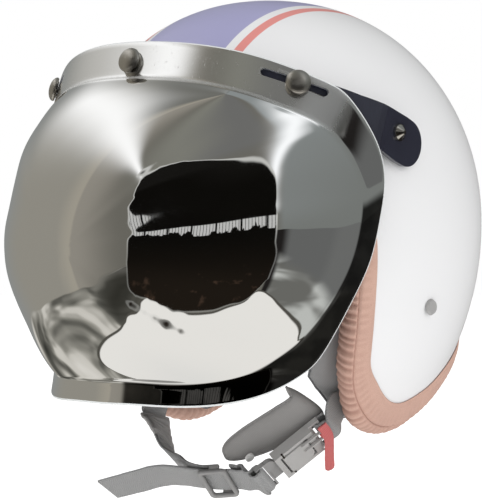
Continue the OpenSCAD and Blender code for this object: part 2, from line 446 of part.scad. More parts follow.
shell();
foam_liner();
crown_pad();
left_cheek_pad();
right_cheek_pad();
neck_roll();
edge_trim();
pivot_bosses();
pivot_screws();
pivot_washers();
visor_band();
snap_studs();
bubble_shield();
snap_sockets();
snap_caps();
strap_rivets();
anchor_plates();
left_anchor_strap();
right_anchor_strap();
left_strap();
right_strap();
chin_pad();
right_sleeve();
buckle_housing();
lever_pin();
lever_spring();
release_lever();
release_tab();
ratchet_tongue();
chin_webbing();
slider();
pad_snap();
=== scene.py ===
import bpy, bmesh, math
import numpy as np
from mathutils import Vector, Matrix


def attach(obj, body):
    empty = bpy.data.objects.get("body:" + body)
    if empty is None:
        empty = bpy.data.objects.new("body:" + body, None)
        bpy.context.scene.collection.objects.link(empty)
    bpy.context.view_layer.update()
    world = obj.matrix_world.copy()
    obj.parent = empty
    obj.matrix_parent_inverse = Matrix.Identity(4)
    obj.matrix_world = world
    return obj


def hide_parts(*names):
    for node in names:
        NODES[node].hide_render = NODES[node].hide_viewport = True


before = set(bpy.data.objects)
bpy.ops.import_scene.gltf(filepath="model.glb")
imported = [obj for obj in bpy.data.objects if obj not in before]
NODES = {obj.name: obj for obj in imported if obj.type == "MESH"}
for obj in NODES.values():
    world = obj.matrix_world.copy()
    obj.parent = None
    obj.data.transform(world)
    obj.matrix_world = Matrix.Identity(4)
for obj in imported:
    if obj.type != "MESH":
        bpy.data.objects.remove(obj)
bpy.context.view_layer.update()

MM = 0.001
rng = np.random.default_rng(7)
scene = bpy.context.scene

# ------------------------------------------------------------------ camera
CAM = np.array([1081.7, -1311.3, 28.6])
AIM = np.array([-13.85, -12.22, -15.75])
cam_data = bpy.data.cameras.new("camera")
cam_data.lens = 197.06
cam_data.sensor_width = 36.0
cam_data.clip_start, cam_data.clip_end = 0.1, 100.0
cam = bpy.data.objects.new("camera", cam_data)
scene.collection.objects.link(cam)
cam.location = Vector(CAM * MM)
cam.rotation_mode = "QUATERNION"
cam.rotation_quaternion = Vector(AIM - CAM).to_track_quat("-Z", "Y")
scene.camera = cam
FWD = (CAM - AIM) / np.linalg.norm(CAM - AIM)
RGT = np.array([math.cos(math.radians(40.142)), math.sin(math.radians(40.142)), 0.0])
UPW = np.cross(FWD, RGT)


# ------------------------------------------------------------------ vectors and curves (millimetres)
def A(*v):
    return np.array(v, float)


def unit(v):
    v = np.asarray(v, float)
    return v / np.linalg.norm(v, axis=-1, keepdims=True)


def mix(a, b, t):
    return a + (b - a) * t


def smooth(t):
    s = np.clip(t, 0, 1)
    return s * s * (3 - 2 * s)


def cr(a, b, c, d, t):
    return 0.5 * (2 * b + (c - a) * t + (2 * a - 5 * b + 4 * c - d) * t * t + (3 * b - a - 3 * c + d) * t ** 3)


def path(P, steps):
    P = np.asarray(P, float)
    n = len(P)
    out = []
    for k in range(n - 1):
        for j in range(steps + (1 if k == n - 2 else 0)):
            out.append(cr(P[max(k - 1, 0)], P[k], P[k + 1], P[min(k + 2, n - 1)], j / steps))
    return np.array(out)


def spline_closed(P, n, arc=True):
    """n points on a smooth closed cubic spline through P, evenly spaced along it."""
    P = np.asarray(P, float)
    m = len(P)
    M = np.zeros((m, m))
    for i in range(m):
        M[i, i] = 4
        M[i, (i + 1) % m] += 1
        M[i, (i - 1) % m] += 1
    D = np.linalg.solve(M, 3 * (np.roll(P, -1, 0) - np.roll(P, 1, 0)))

    def at(s):
        k = np.floor(s).astype(int) % m
        t = (s - np.floor(s))[:, None]
        p0, p1, d0, d1 = P[k], P[(k + 1) % m], D[k], D[(k + 1) % m]
        return (2 * t ** 3 - 3 * t ** 2 + 1) * p0 + (t ** 3 - 2 * t ** 2 + t) * d0 + (-2 * t ** 3 + 3 * t ** 2) * p1 + (t ** 3 - t ** 2) * d1
    if not arc:
        return at(np.arange(n) * m / n)
    s = np.linspace(0, m, m * 60 + 1)
    q = at(s)
    L = np.concatenate([[0], np.cumsum(np.linalg.norm(np.diff(q, axis=0), axis=1))])
    return at(np.interp(np.arange(n) * L[-1] / n, L, s)), np.interp(np.arange(n) * L[-1] / n, L, s), L[-1]


def periodic(vals, s, m):
    """Smooth closed interpolation of the values at 0..m-1, read at s."""
    return spline_closed_scalar(np.asarray(vals, float), s, m)


def spline_closed_scalar(V, s, m):
    M = np.zeros((m, m))
    for i in range(m):
        M[i, i] = 4
        M[i, (i + 1) % m] += 1
        M[i, (i - 1) % m] += 1
    D = np.linalg.solve(M, 3 * (np.roll(V, -1) - np.roll(V, 1)))
    k = np.floor(s).astype(int) % m
    t = s - np.floor(s)
    return (2 * t ** 3 - 3 * t ** 2 + 1) * V[k] + (t ** 3 - 2 * t ** 2 + t) * D[k] + (-2 * t ** 3 + 3 * t ** 2) * V[(k + 1) % m] + (t ** 3 - t ** 2) * D[(k + 1) % m]


def mirrored(H):
    H = np.asarray(H, float)
    back = H[-2:0:-1].copy()
    back[:, 0] *= -1
    return np.concatenate([H, back])


def slerp(a, b, t):
    w = np.arccos(np.clip((a * b).sum(-1, keepdims=True), -1, 1))
    return (np.sin((1 - t) * w) * a + np.sin(t * w) * b) / np.sin(w)


# ------------------------------------------------------------------ the shell's form
def shell_r(d):
    d = np.asarray(d, float)
    b = np.where(d[..., 1] < 0, 133.5, 141.0)
    c = np.where(d[..., 2] > 0, 122.9 + 15.6 * d[..., 2], 122.9 - 39.4 * d[..., 2])
    return (((np.abs(d[..., 0]) / 120) ** 2.15 + (np.abs(d[..., 1]) / b) ** 2.15) ** (2.2 / 2.15) + (np.abs(d[..., 2]) / c) ** 2.2) ** (-1 / 2.2)


def dir_at(phi, z):
    phi, z = np.broadcast_arrays(np.radians(np.asarray(phi, float)), np.asarray(z, float))
    rho = np.full(phi.shape, 105.0)
    for _ in range(14):
        d = unit(np.stack([rho * np.sin(phi), -rho * np.cos(phi), z], -1))
        rho = np.sqrt(np.maximum(100, shell_r(d) ** 2 - z ** 2))
    return unit(np.stack([rho * np.sin(phi), -rho * np.cos(phi), z], -1))


def on_shell(d, depth=0.0):
    d = unit(d)
    return d * (shell_r(d) - depth)[..., None]


EDGE_PZ = [(0, 50), (20, 49), (38, 44), (52, 33), (61, 15), (64, -10), (64.5, -38), (65.2, -64), (67, -88), (72.5, -104),
           (81.5, -114.6), (92, -119.8), (103, -119.8), (113, -115.4), (124, -107), (138, -88), (156, -74), (180, -68)]
EDGE_DIR = mirrored(np.array([dir_at(a, z) for a, z in EDGE_PZ]))
POLE = unit(A(0, 0.5, 0.86))


def edge_ring(n):
    """Directions and points of the shell's edge, evenly spaced, from the brow to the left."""
    pts, s, total = spline_closed(EDGE_DIR * shell_r(EDGE_DIR)[:, None], n)
    d = unit(pts)
    return d, d * shell_r(d)[:, None], total


# ------------------------------------------------------------------ meshes
def grid_faces(nu, nv, wrap_u=False, wrap_v=False, off=0, flip=False):
    iu = np.arange(nu if wrap_u else nu - 1)
    iv = np.arange(nv if wrap_v else nv - 1)
    I, J = np.meshgrid(iu, iv, indexing="ij")
    I2, J2 = (I + 1) % nu, (J + 1) % nv
    q = np.stack([I * nv + J, I2 * nv + J, I2 * nv + J2, I * nv + J2], -1).reshape(-1, 4) + off
    return q[:, ::-1] if flip else q


def make(name, V, F, body, material, replaces=(), slot=None, smooth_shade=True, uv=None, outward=True, attrs=None):
    me = bpy.data.meshes.new(name)
    V = np.asarray(V, float).reshape(-1, 3)
    me.from_pydata((V * MM).tolist(), [], [list(map(int, f)) for f in F])
    me.update()
    if outward:
        bm = bmesh.new()
        bm.from_mesh(me)
        bmesh.ops.recalc_face_normals(bm, faces=bm.faces)
        bm.to_mesh(me)
        bm.free()
    if uv is not None:
        layer = me.uv_layers.new(name="UVMap")
        idx = np.zeros(len(me.loops), int)
        me.loops.foreach_get("vertex_index", idx)
        layer.data.foreach_set("uv", np.asarray(uv, float).reshape(-1, 2)[idx].ravel())
    for key, val in (attrs or {}).items():
        at = me.attributes.new(key, "FLOAT", "POINT")
        at.data.foreach_set("value", np.asarray(val, np.float32).ravel())
    if smooth_shade:
        me.shade_smooth()
    ob = bpy.data.objects.new(name, me)
    scene.collection.objects.link(ob)
    if material is not None:
        me.materials.append(material)
    if body:
        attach(ob, body)
    if replaces:
        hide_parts(*replaces)
    return ob


def closed_grid(name, G, body, material, wrap_u=True, **kw):
    """A tube of rings G[u][v]: v wraps; the ends are capped unless u wraps."""
    nu, nv = G.shape[:2]
    F = grid_faces(nu, nv, wrap_u=wrap_u, wrap_v=True)
    F = [list(f) for f in F]
    if not wrap_u:
        F.append(list(range(nv))[::-1])
        F.append([(nu - 1) * nv + k for k in range(nv)])
    return make(name, G.reshape(-1, 3), F, body, material, **kw)


def dome_mesh(outer, inner):
    """outer, inner: [pole point, rings...] of n points each. Returns vertices and faces of the closed solid."""
    def flat(g):
        return np.concatenate([g[0][None], np.concatenate(g[1:])])
    n = len(outer[1])
    V = np.concatenate([flat(outer), flat(inner)])
    F = []
    for o, g in ((0, outer), (1 + n * (len(outer) - 1), inner)):
        m = len(g) - 1
        for i in range(n):
            F.append([o, o + 1 + (i + 1) % n, o + 1 + i])
        F.extend((grid_faces(m, n, wrap_v=True) + o + 1).tolist())
    a, b = 1 + (len(outer) - 2) * n, 1 + n * (len(outer) - 1) + 1 + (len(inner) - 2) * n
    for i in range(n):
        j = (i + 1) % n
        F.append([a + i, a + j, b + j, b + i])
    return V, F


# ------------------------------------------------------------------ materials
def new_mat(name):
    m = bpy.data.materials.new(name)
    m.use_nodes = True
    t = m.node_tree
    t.nodes.clear()
    out = t.nodes.new("ShaderNodeOutputMaterial")
    b = t.nodes.new("ShaderNodeBsdfPrincipled")
    t.links.new(b.outputs[0], out.inputs[0])
    return m, t, b


def node(t, kind, inputs=None, **props):
    n = t.nodes.new(kind)
    for k, v in props.items():
        setattr(n, k, v)
    for k, v in (inputs or {}).items():
        s = n.inputs[k]
        if isinstance(v, bpy.types.NodeSocket):
            t.links.new(v, s)
        else:
            s.default_value = v
    return n


def math_n(t, op, a, b=0.0, c=0.0, clamp=False):
    n = t.nodes.new("ShaderNodeMath")
    n.operation = op
    n.use_clamp = clamp
    for i, v in enumerate((a, b, c)):
        if isinstance(v, bpy.types.NodeSocket):
            t.links.new(v, n.inputs[i])
        else:
            n.inputs[i].default_value = v
    return n.outputs[0]


def ramp(t, fac, stops, interp="LINEAR"):
    n = t.nodes.new("ShaderNodeValToRGB")
    n.color_ramp.interpolation = interp
    e = n.color_ramp.elements
    while len(e) > 1:
        e.remove(e[-1])
    e[0].position, e[0].color = stops[0][0], (*stops[0][1], 1) if len(stops[0][1]) == 3 else stops[0][1]
    for p, c in stops[1:]:
        x = e.new(p)
        x.color = (*c, 1) if len(c) == 3 else c
    t.links.new(fac, n.inputs[0])
    return n.outputs[0]


def srgb(r, g, b):
    def f(c):
        c /= 255.0
        return c / 12.92 if c <= 0.04045 else ((c + 0.055) / 1.055) ** 2.4
    return (f(r), f(g), f(b))


def mixc(t, fac, a, b, kind="MIX"):
    n = t.nodes.new("ShaderNodeMix")
    n.data_type = "RGBA"
    n.blend_type = kind
    for i, v in ((0, fac), (6, a), (7, b)):
        if isinstance(v, bpy.types.NodeSocket):
            t.links.new(v, n.inputs[i])
        elif i == 0:
            n.inputs[0].default_value = v
        else:
            n.inputs[i].default_value = (*v, 1)
    return n.outputs[2]


def bump(t, b, height, strength, distance, normal=None):
    n = t.nodes.new("ShaderNodeBump")
    n.inputs["Strength"].default_value = strength
    n.inputs["Distance"].default_value = distance
    t.links.new(height, n.inputs["Height"])
    if normal is not None:
        t.links.new(normal, n.inputs["Normal"])
    if b is not None:
        t.links.new(n.outputs[0], b.inputs["Normal"])
    return n.outputs[0]


TC = "ShaderNodeTexCoord"


def noise(t, vec, scale, detail=4.0, rough=0.5, dist=0.0):
    return node(t, "ShaderNodeTexNoise", {"Vector": vec, "Scale": scale, "Detail": detail, "Roughness": rough, "Distortion": dist})


def grain_normal(t, b, vec, scale, strength, dist, detail=3.0):
    n = noise(t, vec, scale, detail, 0.55)
    return bump(t, b, n.outputs[0], strength, dist)


# painted shell: gloss lacquer with a blue centre band between red lines, set out by the distance from the middle plane
def mat_shell():
    m, t, b = new_mat("shell_lacquer")
    co = node(t, TC).outputs["Object"]
    sep = node(t, "ShaderNodeSeparateXYZ", {0: co})
    ax = math_n(t, "ABSOLUTE", sep.outputs[0])
    # masking wobble of a few hundredths of a millimetre
    wob = noise(t, co, 60.0, 2.0).outputs[0]
    ax = math_n(t, "ADD", ax, math_n(t, "MULTIPLY", math_n(t, "SUBTRACT", wob, 0.5), 0.0002))

    def step(edge, soft=0.00018):
        return node(t, "ShaderNodeMapRange", {"Value": ax, "From Min": edge - soft, "From Max": edge + soft}).outputs[0]
    blue = math_n(t, "SUBTRACT", 1.0, step(0.0338))
    red = math_n(t, "SUBTRACT", step(0.0392), step(0.0446))
    fade = noise(t, co, 14.0, 3.0).outputs[0]
    white = mixc(t, math_n(t, "MULTIPLY", fade, 0.35), (0.83, 0.83, 0.835), (0.79, 0.79, 0.80))
    c = mixc(t, blue, white, mixc(t, fade, srgb(160, 158, 197), srgb(172, 171, 206)))
    c = mixc(t, red, c, mixc(t, fade, srgb(224, 140, 134), srgb(232, 152, 146)))
    t.links.new(c, b.inputs["Base Color"])
    b.inputs["Roughness"].default_value = 0.36
    b.inputs["Specular IOR Level"].default_value = 0.32
    b.inputs["Coat Weight"].default_value = 0.22
    b.inputs["Coat Roughness"].default_value = 0.12
    peel = noise(t, co, 420.0, 2.0).outputs[0]
    bump(t, b, peel, 0.05, 0.0002)
    return m


def mat_mirror():
    m, t, b = new_mat("shield_mirror")
    co = node(t, TC).outputs["Object"]
    b.inputs["Base Color"].default_value = (0.96, 0.96, 0.96, 1)
    b.inputs["Metallic"].default_value = 1.0
    # the coat runs thin on the bent border, which is a little duller and faces further up or out than its mesh
    brow = node(t, "ShaderNodeAttribute", attribute_name="brow").outputs["Fac"]
    side = node(t, "ShaderNodeAttribute", attribute_name="side").outputs["Fac"]
    wear = noise(t, co, 30.0, 5.0, 0.6).outputs[0]
    base = node(t, "ShaderNodeMapRange", {"Value": wear, "From Min": 0.3, "From Max": 0.8, "To Min": 0.012, "To Max": 0.04}).outputs[0]
    # fine rub marks beside the side snaps' slots and along the border
    st = node(t, "ShaderNodeVectorMath", {0: co, 1: (900.0, 900.0, 60.0)}, operation="MULTIPLY").outputs[0]
    rub = node(t, "ShaderNodeTexNoise", {"Vector": st, "Scale": 1.0, "Detail": 2.0}).outputs[0]
    rub = node(t, "ShaderNodeMapRange", {"Value": rub, "From Min": 0.62, "From Max": 0.75}).outputs[0]
    rg = math_n(t, "ADD", base, math_n(t, "MULTIPLY", brow, 0.10))
    rg = math_n(t, "ADD", rg, math_n(t, "MULTIPLY", math_n(t, "MULTIPLY", rub, brow), 0.18))
    # the coat is hazy where the rim turns from the brow to the side
    turn = math_n(t, "MULTIPLY", brow, math_n(t, "SUBTRACT", 1.0, brow))
    rg = math_n(t, "ADD", rg, math_n(t, "MULTIPLY", turn, 1.7, clamp=True), clamp=True)
    t.links.new(rg, b.inputs["Roughness"])
    geo = t.nodes.new("ShaderNodeNewGeometry")
    lift = node(t, "ShaderNodeCombineXYZ", {2: math_n(t, "MULTIPLY", brow, 0.24)}).outputs[0]
    sx = node(t, "ShaderNodeSeparateXYZ", {0: co}).outputs[0]
    out = node(t, "ShaderNodeCombineXYZ", {0: math_n(t, "MULTIPLY", math_n(t, "MULTIPLY", side, 0.05), math_n(t, "SIGN", sx))}).outputs[0]
    v1 = node(t, "ShaderNodeVectorMath", {0: geo.outputs["Normal"], 1: lift}, operation="ADD").outputs[0]
    v2 = node(t, "ShaderNodeVectorMath", {0: v1, 1: out}, operation="ADD").outputs[0]
    v3 = node(t, "ShaderNodeVectorMath", {0: v2}, operation="NORMALIZE").outputs[0]
    t.links.new(v3, b.inputs["Normal"])
    # painted dark reflection: where the 'rim' attribute is set, the mirror's base colour is darkened to near black,
    # with noise streaks
    rim = node(t, "ShaderNodeAttribute", attribute_name="rim").outputs["Fac"]
    rim_reflection_tone = node(t, "ShaderNodeMapRange", {"Value": noise(t, co, 60.0, 3.0).outputs[0], "From Min": 0.42, "From Max": 0.6, "To Min": 0.03, "To Max": 0.075}).outputs[0]
    dark = node(t, "ShaderNodeCombineXYZ", {0: rim_reflection_tone, 1: math_n(t, "MULTIPLY", rim_reflection_tone, 0.93), 2: math_n(t, "MULTIPLY", rim_reflection_tone, 0.86)}).outputs[0]
    t.links.new(mixc(t, math_n(t, "MULTIPLY", rim, 0.96), (0.96, 0.96, 0.96), dark), b.inputs["Base Color"])
    return m


def mat_shield_edge():
    m, t, b = new_mat("shield_edge")
    co = node(t, TC).outputs["Object"]
    g = noise(t, co, 200.0, 3.0).outputs[0]
    c = mixc(t, g, srgb(236, 238, 238), srgb(205, 208, 208))
    t.links.new(c, b.inputs["Base Color"])
    b.inputs["Roughness"].default_value = 0.25
    b.inputs["Specular IOR Level"].default_value = 0.6
    bump(t, b, g, 0.1, 0.0002)
    return m


def mat_leather(name, ca, cb, grain_and_shade_tone):
    m, t, b = new_mat(name)
    co = node(t, TC).outputs["Object"]
    big = noise(t, co, 22.0, 4.0, 0.6).outputs[0]
    fine = noise(t, co, 520.0, 3.0, 0.6).outputs[0]
    v = node(t, "ShaderNodeTexVoronoi", {"Vector": co, "Scale": 900.0}, feature="DISTANCE_TO_EDGE")
    cell = node(t, "ShaderNodeMapRange", {"Value": v.outputs["Distance"], "From Min": 0.0, "From Max": 0.12}).outputs[0]
    # painted shade: the trim's attribute darkens the valleys between the pleats and the seam's groove towards the
    # darker tone, which also marks the grain's cell edges
    at = node(t, "ShaderNodeAttribute", attribute_name="crease")
    c = mixc(t, big, ca, cb)
    c = mixc(t, math_n(t, "MULTIPLY", at.outputs["Fac"], 0.75), c, grain_and_shade_tone)
    c = mixc(t, math_n(t, "MULTIPLY", math_n(t, "SUBTRACT", 1.0, cell), 0.22), c, grain_and_shade_tone)
    t.links.new(c, b.inputs["Base Color"])
    rg = node(t, "ShaderNodeMapRange", {"Value": fine, "To Min": 0.48, "To Max": 0.68}).outputs[0]
    t.links.new(rg, b.inputs["Roughness"])
    b.inputs["Specular IOR Level"].default_value = 0.35
    h = math_n(t, "ADD", math_n(t, "MULTIPLY", cell, 0.5), math_n(t, "MULTIPLY", fine, 0.7))
    bump(t, b, h, 0.35, 0.0003)
    return m


def mat_fabric(name, ca, cb, scale=1500.0, rough=0.9, sheen=0.25, bumpd=0.00035):
    """Brushed knit: rows of small loops, with a soft nap."""
    m, t, b = new_mat(name)
    co = node(t, TC).outputs["Object"]
    nap = noise(t, co, 45.0, 5.0, 0.6).outputs[0]
    w1 = node(t, "ShaderNodeTexWave", {"Vector": co, "Scale": scale / 6.0, "Distortion": 0.6, "Detail": 1.0}, wave_type="BANDS", bands_direction="Z")
    w2 = node(t, "ShaderNodeTexWave", {"Vector": co, "Scale": scale / 6.0, "Distortion": 0.6, "Detail": 1.0}, wave_type="BANDS", bands_direction="DIAGONAL")
    loops = math_n(t, "MULTIPLY", w1.outputs["Fac"], w2.outputs["Fac"])
    fuzz = noise(t, co, scale, 3.0, 0.7).outputs[0]
    c = mixc(t, nap, ca, cb)
    c = mixc(t, math_n(t, "MULTIPLY", math_n(t, "SUBTRACT", 1.0, loops), 0.25), c, tuple(x * 0.62 for x in ca))
    t.links.new(c, b.inputs["Base Color"])
    b.inputs["Roughness"].default_value = rough
    b.inputs["Sheen Weight"].default_value = sheen
    b.inputs["Sheen Roughness"].default_value = 0.4
    b.inputs["Specular IOR Level"].default_value = 0.2
    h = math_n(t, "ADD", loops, math_n(t, "MULTIPLY", fuzz, 0.6))
    bump(t, b, h, 0.5, bumpd)
    return m


def mat_webbing(name, ca, cb, width, pitch=0.0017):
    """Woven webbing: herringbone ribs along the strap and picks across it, laid out in the strap's own metres."""
    m, t, b = new_mat(name)
    uv = node(t, TC).outputs["UV"]
    sep = node(t, "ShaderNodeSeparateXYZ", {0: uv})
    u, v = sep.outputs[0], sep.outputs[1]
    tw = 2 * math.pi
    fold = math_n(t, "ABSOLUTE", math_n(t, "SUBTRACT", math_n(t, "FRACT", math_n(t, "DIVIDE", u, width / 4)), 0.5))
    diag = math_n(t, "ADD", math_n(t, "DIVIDE", v, pitch), math_n(t, "MULTIPLY", fold, width / 4 / pitch))
    rib = math_n(t, "SINE", math_n(t, "MULTIPLY", diag, tw))
    warp = math_n(t, "ABSOLUTE", math_n(t, "SINE", math_n(t, "MULTIPLY", u, math.pi / 0.00085)))
    h = math_n(t, "ADD", math_n(t, "MULTIPLY", rib, 0.35), warp)
    co = node(t, TC).outputs["Object"]
    blot = noise(t, co, 60.0, 4.0).outputs[0]
    c = mixc(t, blot, ca, cb)
    k = node(t, "ShaderNodeMapRange", {"Value": h, "From Min": -0.3, "From Max": 1.3}).outputs[0]
    c = mixc(t, k, tuple(x * 0.62 for x in ca), c)
    t.links.new(c, b.inputs["Base Color"])
    b.inputs["Roughness"].default_value = 0.72
    b.inputs["Sheen Weight"].default_value = 0.15
    b.inputs["Specular IOR Level"].default_value = 0.3
    bump(t, b, h, 0.55, 0.0004)
    return m


def mat_plastic(name, ca, cb, rough=0.45, scale=900.0, strength=0.15, coat=0.0, wearc=None):
    m, t, b = new_mat(name)
    co = node(t, TC).outputs["Object"]
    g = noise(t, co, scale, 2.0, 0.5).outputs[0]
    big = noise(t, co, 25.0, 4.0).outputs[0]
    c = mixc(t, big, ca, cb)
    t.links.new(c, b.inputs["Base Color"])
    rg = node(t, "ShaderNodeMapRange", {"Value": g, "To Min": rough - 0.06, "To Max": rough + 0.06}).outputs[0]
    t.links.new(rg, b.inputs["Roughness"])
    b.inputs["Coat Weight"].default_value = coat
    b.inputs["Coat Roughness"].default_value = 0.08
    bump(t, b, g, strength, 0.0002)
    return m


def mat_metal(name, color, rough=0.25, aniso=0.0, spin=True, dark=None, scale=1.0):
    m, t, b = new_mat(name)
    co = node(t, TC).outputs["Object"]
    s = noise(t, co, 260.0 * scale, 3.0, 0.5).outputs[0]
    big = noise(t, co, 120.0, 3.0).outputs[0]
    d = dark or tuple(x * 0.72 for x in color)
    c = mixc(t, big, color, d)
    t.links.new(c, b.inputs["Base Color"])
    b.inputs["Metallic"].default_value = 1.0
    rg = node(t, "ShaderNodeMapRange", {"Value": s, "To Min": rough - 0.04, "To Max": rough + 0.06}).outputs[0]
    t.links.new(rg, b.inputs["Roughness"])
    bump(t, b, s, 0.03, 0.00004)
    return m


M_SHELL = mat_shell()
M_MIRROR = mat_mirror()
M_EDGE = mat_shield_edge()
M_TRIM = mat_leather("trim_leather", srgb(194, 156, 142), srgb(216, 178, 160), srgb(158, 116, 102))
M_FOAM = mat_plastic("foam", (0.022, 0.022, 0.024), (0.035, 0.035, 0.038), 0.85, 260.0, 0.6)
M_LINING = mat_fabric("lining_knit", srgb(146, 146, 146), srgb(160, 159, 158), scale=2600.0, bumpd=0.00025)
M_CROWN = mat_fabric("crown_knit", srgb(96, 96, 98), srgb(120, 120, 121))
M_PAD = mat_fabric("pad_knit", srgb(146, 144, 142), srgb(158, 156, 154), scale=2600.0, bumpd=0.0002)
M_WEB = mat_webbing("strap_webbing", srgb(154, 154, 154), srgb(168, 168, 167), 0.0232)
M_TAB = mat_webbing("tab_tape", srgb(204, 96, 98), srgb(222, 122, 116), 0.0064, 0.0011)
M_BUCKLE = mat_plastic("buckle_plastic", srgb(164, 162, 160), srgb(174, 173, 171), 0.5)
M_SLIDER = mat_plastic("slider_plastic", srgb(138, 137, 136), srgb(150, 149, 148), 0.5)
M_BAND = mat_plastic("band_plastic", srgb(34, 34, 42), srgb(52, 54, 66), 0.16, 500.0, 0.04, 0.4)
M_SNAP = mat_metal("snap_nickel", (0.66, 0.63, 0.58), 0.34)
M_BRIGHT = mat_metal("bright_steel", (0.72, 0.69, 0.64), 0.18)
M_RIVET = mat_plastic("rivet_paint", srgb(160, 159, 158), srgb(168, 167, 166), 0.4, 700.0, 0.1)
M_STUD = mat_plastic("pad_snap_paint", srgb(214, 213, 211), srgb(228, 227, 225), 0.35, 500.0, 0.05)


# ------------------------------------------------------------------ the shell
def shell_rings(n, m, t_end, d0, d1, extra=None):
    """[pole point, rings] of the shell's form, depth d0 at the pole growing to d1 towards the edge."""
    E = edge_ring(n)[0]
    out = [POLE * (float(shell_r(POLE)) - d0)]
    for k in range(1, m + 1):
        t = k / m * t_end
        dep = d0 + (d1 - d0) * smooth(t / 0.72)
        d = unit(slerp(np.broadcast_to(POLE, E.shape), E, t))
        e = 0.0 if extra is None else extra(t, d, np.arange(n) / n)
        out.append(d * (shell_r(d) - dep + e)[..., None])
    return out





def two_sided(outer, inner):
    """Closed solid from an outer dome and an inner dome of as many points a ring, but maybe fewer rings."""
    n = len(outer[1])
    flat = lambda g: np.concatenate([g[0][None], np.concatenate(g[1:])])
    V = np.concatenate([flat(outer), flat(inner)])
    o2 = 1 + n * (len(outer) - 1)
    F = []
    for o, g in ((0, outer), (o2, inner)):
        F += [[o, o + 1 + (i + 1) % n, o + 1 + i] for i in range(n)]
        F += (grid_faces(len(g) - 1, n, wrap_v=True) + o + 1).tolist()
    a, b = 1 + (len(outer) - 2) * n, o2 + 1 + (len(inner) - 2) * n
    F += [[a + i, a + (i + 1) % n, b + (i + 1) % n, b + i] for i in range(n)]
    return V, F


V, F = two_sided(shell_rings(600, 100, 1.0, 0.0, 0.0), shell_rings(600, 30, 1.0, 4.0, 4.0))
make("shell_lacquered", V, F, "helmet", M_SHELL, ["shell"])

# the foam shows from below, between the pads: moulded with shallow air channels from front to back
def foam_relief(t, d, s):
    ang = np.degrees(np.arctan2(d[..., 0], -d[..., 1]))
    k = np.abs(((ang + 180) / 30.0) % 1.0 - 0.5)
    return 2.2 * (1 - smooth((k - 0.03) / 0.05)) * smooth((t - 0.55) / 0.1) * (1 - smooth((t - 0.93) / 0.05))


V, F = two_sided(shell_rings(480, 30, 1.0, 4.1, 4.1), shell_rings(480, 90, 1.0, 33.0, 13.0, foam_relief))
make("foam_moulding", V, F, "helmet", M_FOAM, ["foam_liner"])


# the crown pad is quilted: radial seams and one ring seam, each panel crowned between them
def quilt(t, d, s):
    u = t / 0.64
    k = np.abs(((s * 8) % 1.0) - 0.5) * 2            # 1 at a radial seam
    seam_r = np.exp(-((1 - k) * u * 14) ** 2) * smooth((u - 0.12) / 0.1)
    seam_c = math.exp(-((u - 0.42) * 34) ** 2) + math.exp(-((u - 0.96) * 30) ** 2)
    crown = (1 - k ** 4) * (1 - (abs(u - 0.69) / 0.3) ** 4 if u > 0.42 else (1 - (u / 0.42) ** 6))
    return 3.2 * np.maximum(seam_r, seam_c) - 1.6 * np.clip(crown, 0, 1)


V, F = two_sided(shell_rings(480, 40, 0.64, 33.4, 13.4), shell_rings(480, 110, 0.64, 41.0 - 1.6, 21.0 - 1.6, quilt))
crown = make("crown_lining", V, F, "helmet", M_CROWN, ["crown_pad"])


# ------------------------------------------------------------------ pads
PAD_LOW = np.array([[57, -89], [62, -96], [68, -102], [74, -107.5], [82, -114], [92, -117], [103, -115.5], [110, -111.5]], float)


def pad_face(U, Vv, a0, a1, z0, z1, d0, puff, base, sink, follow):
    a = a0 + (a1 - a0) * U
    low = np.interp(a, PAD_LOW[:, 0], PAD_LOW[:, 1]) if follow else np.full(a.shape, z0)
    z = low + (z1 - low) * Vv
    d = dir_at(a, z)
    p = d * shell_r(d)[..., None]
    rho = np.hypot(p[..., 0], p[..., 1])
    e = (1 - np.abs(2 * U - 1) ** 4) * (1 - np.abs(2 * Vv - 1) ** 4)
    q = (rho - d0 - sink * (1 - Vv) ** 2 - puff * (base + (1 - base) * e)) / rho
    return np.stack([p[..., 0] * q, p[..., 1] * q, z], -1)


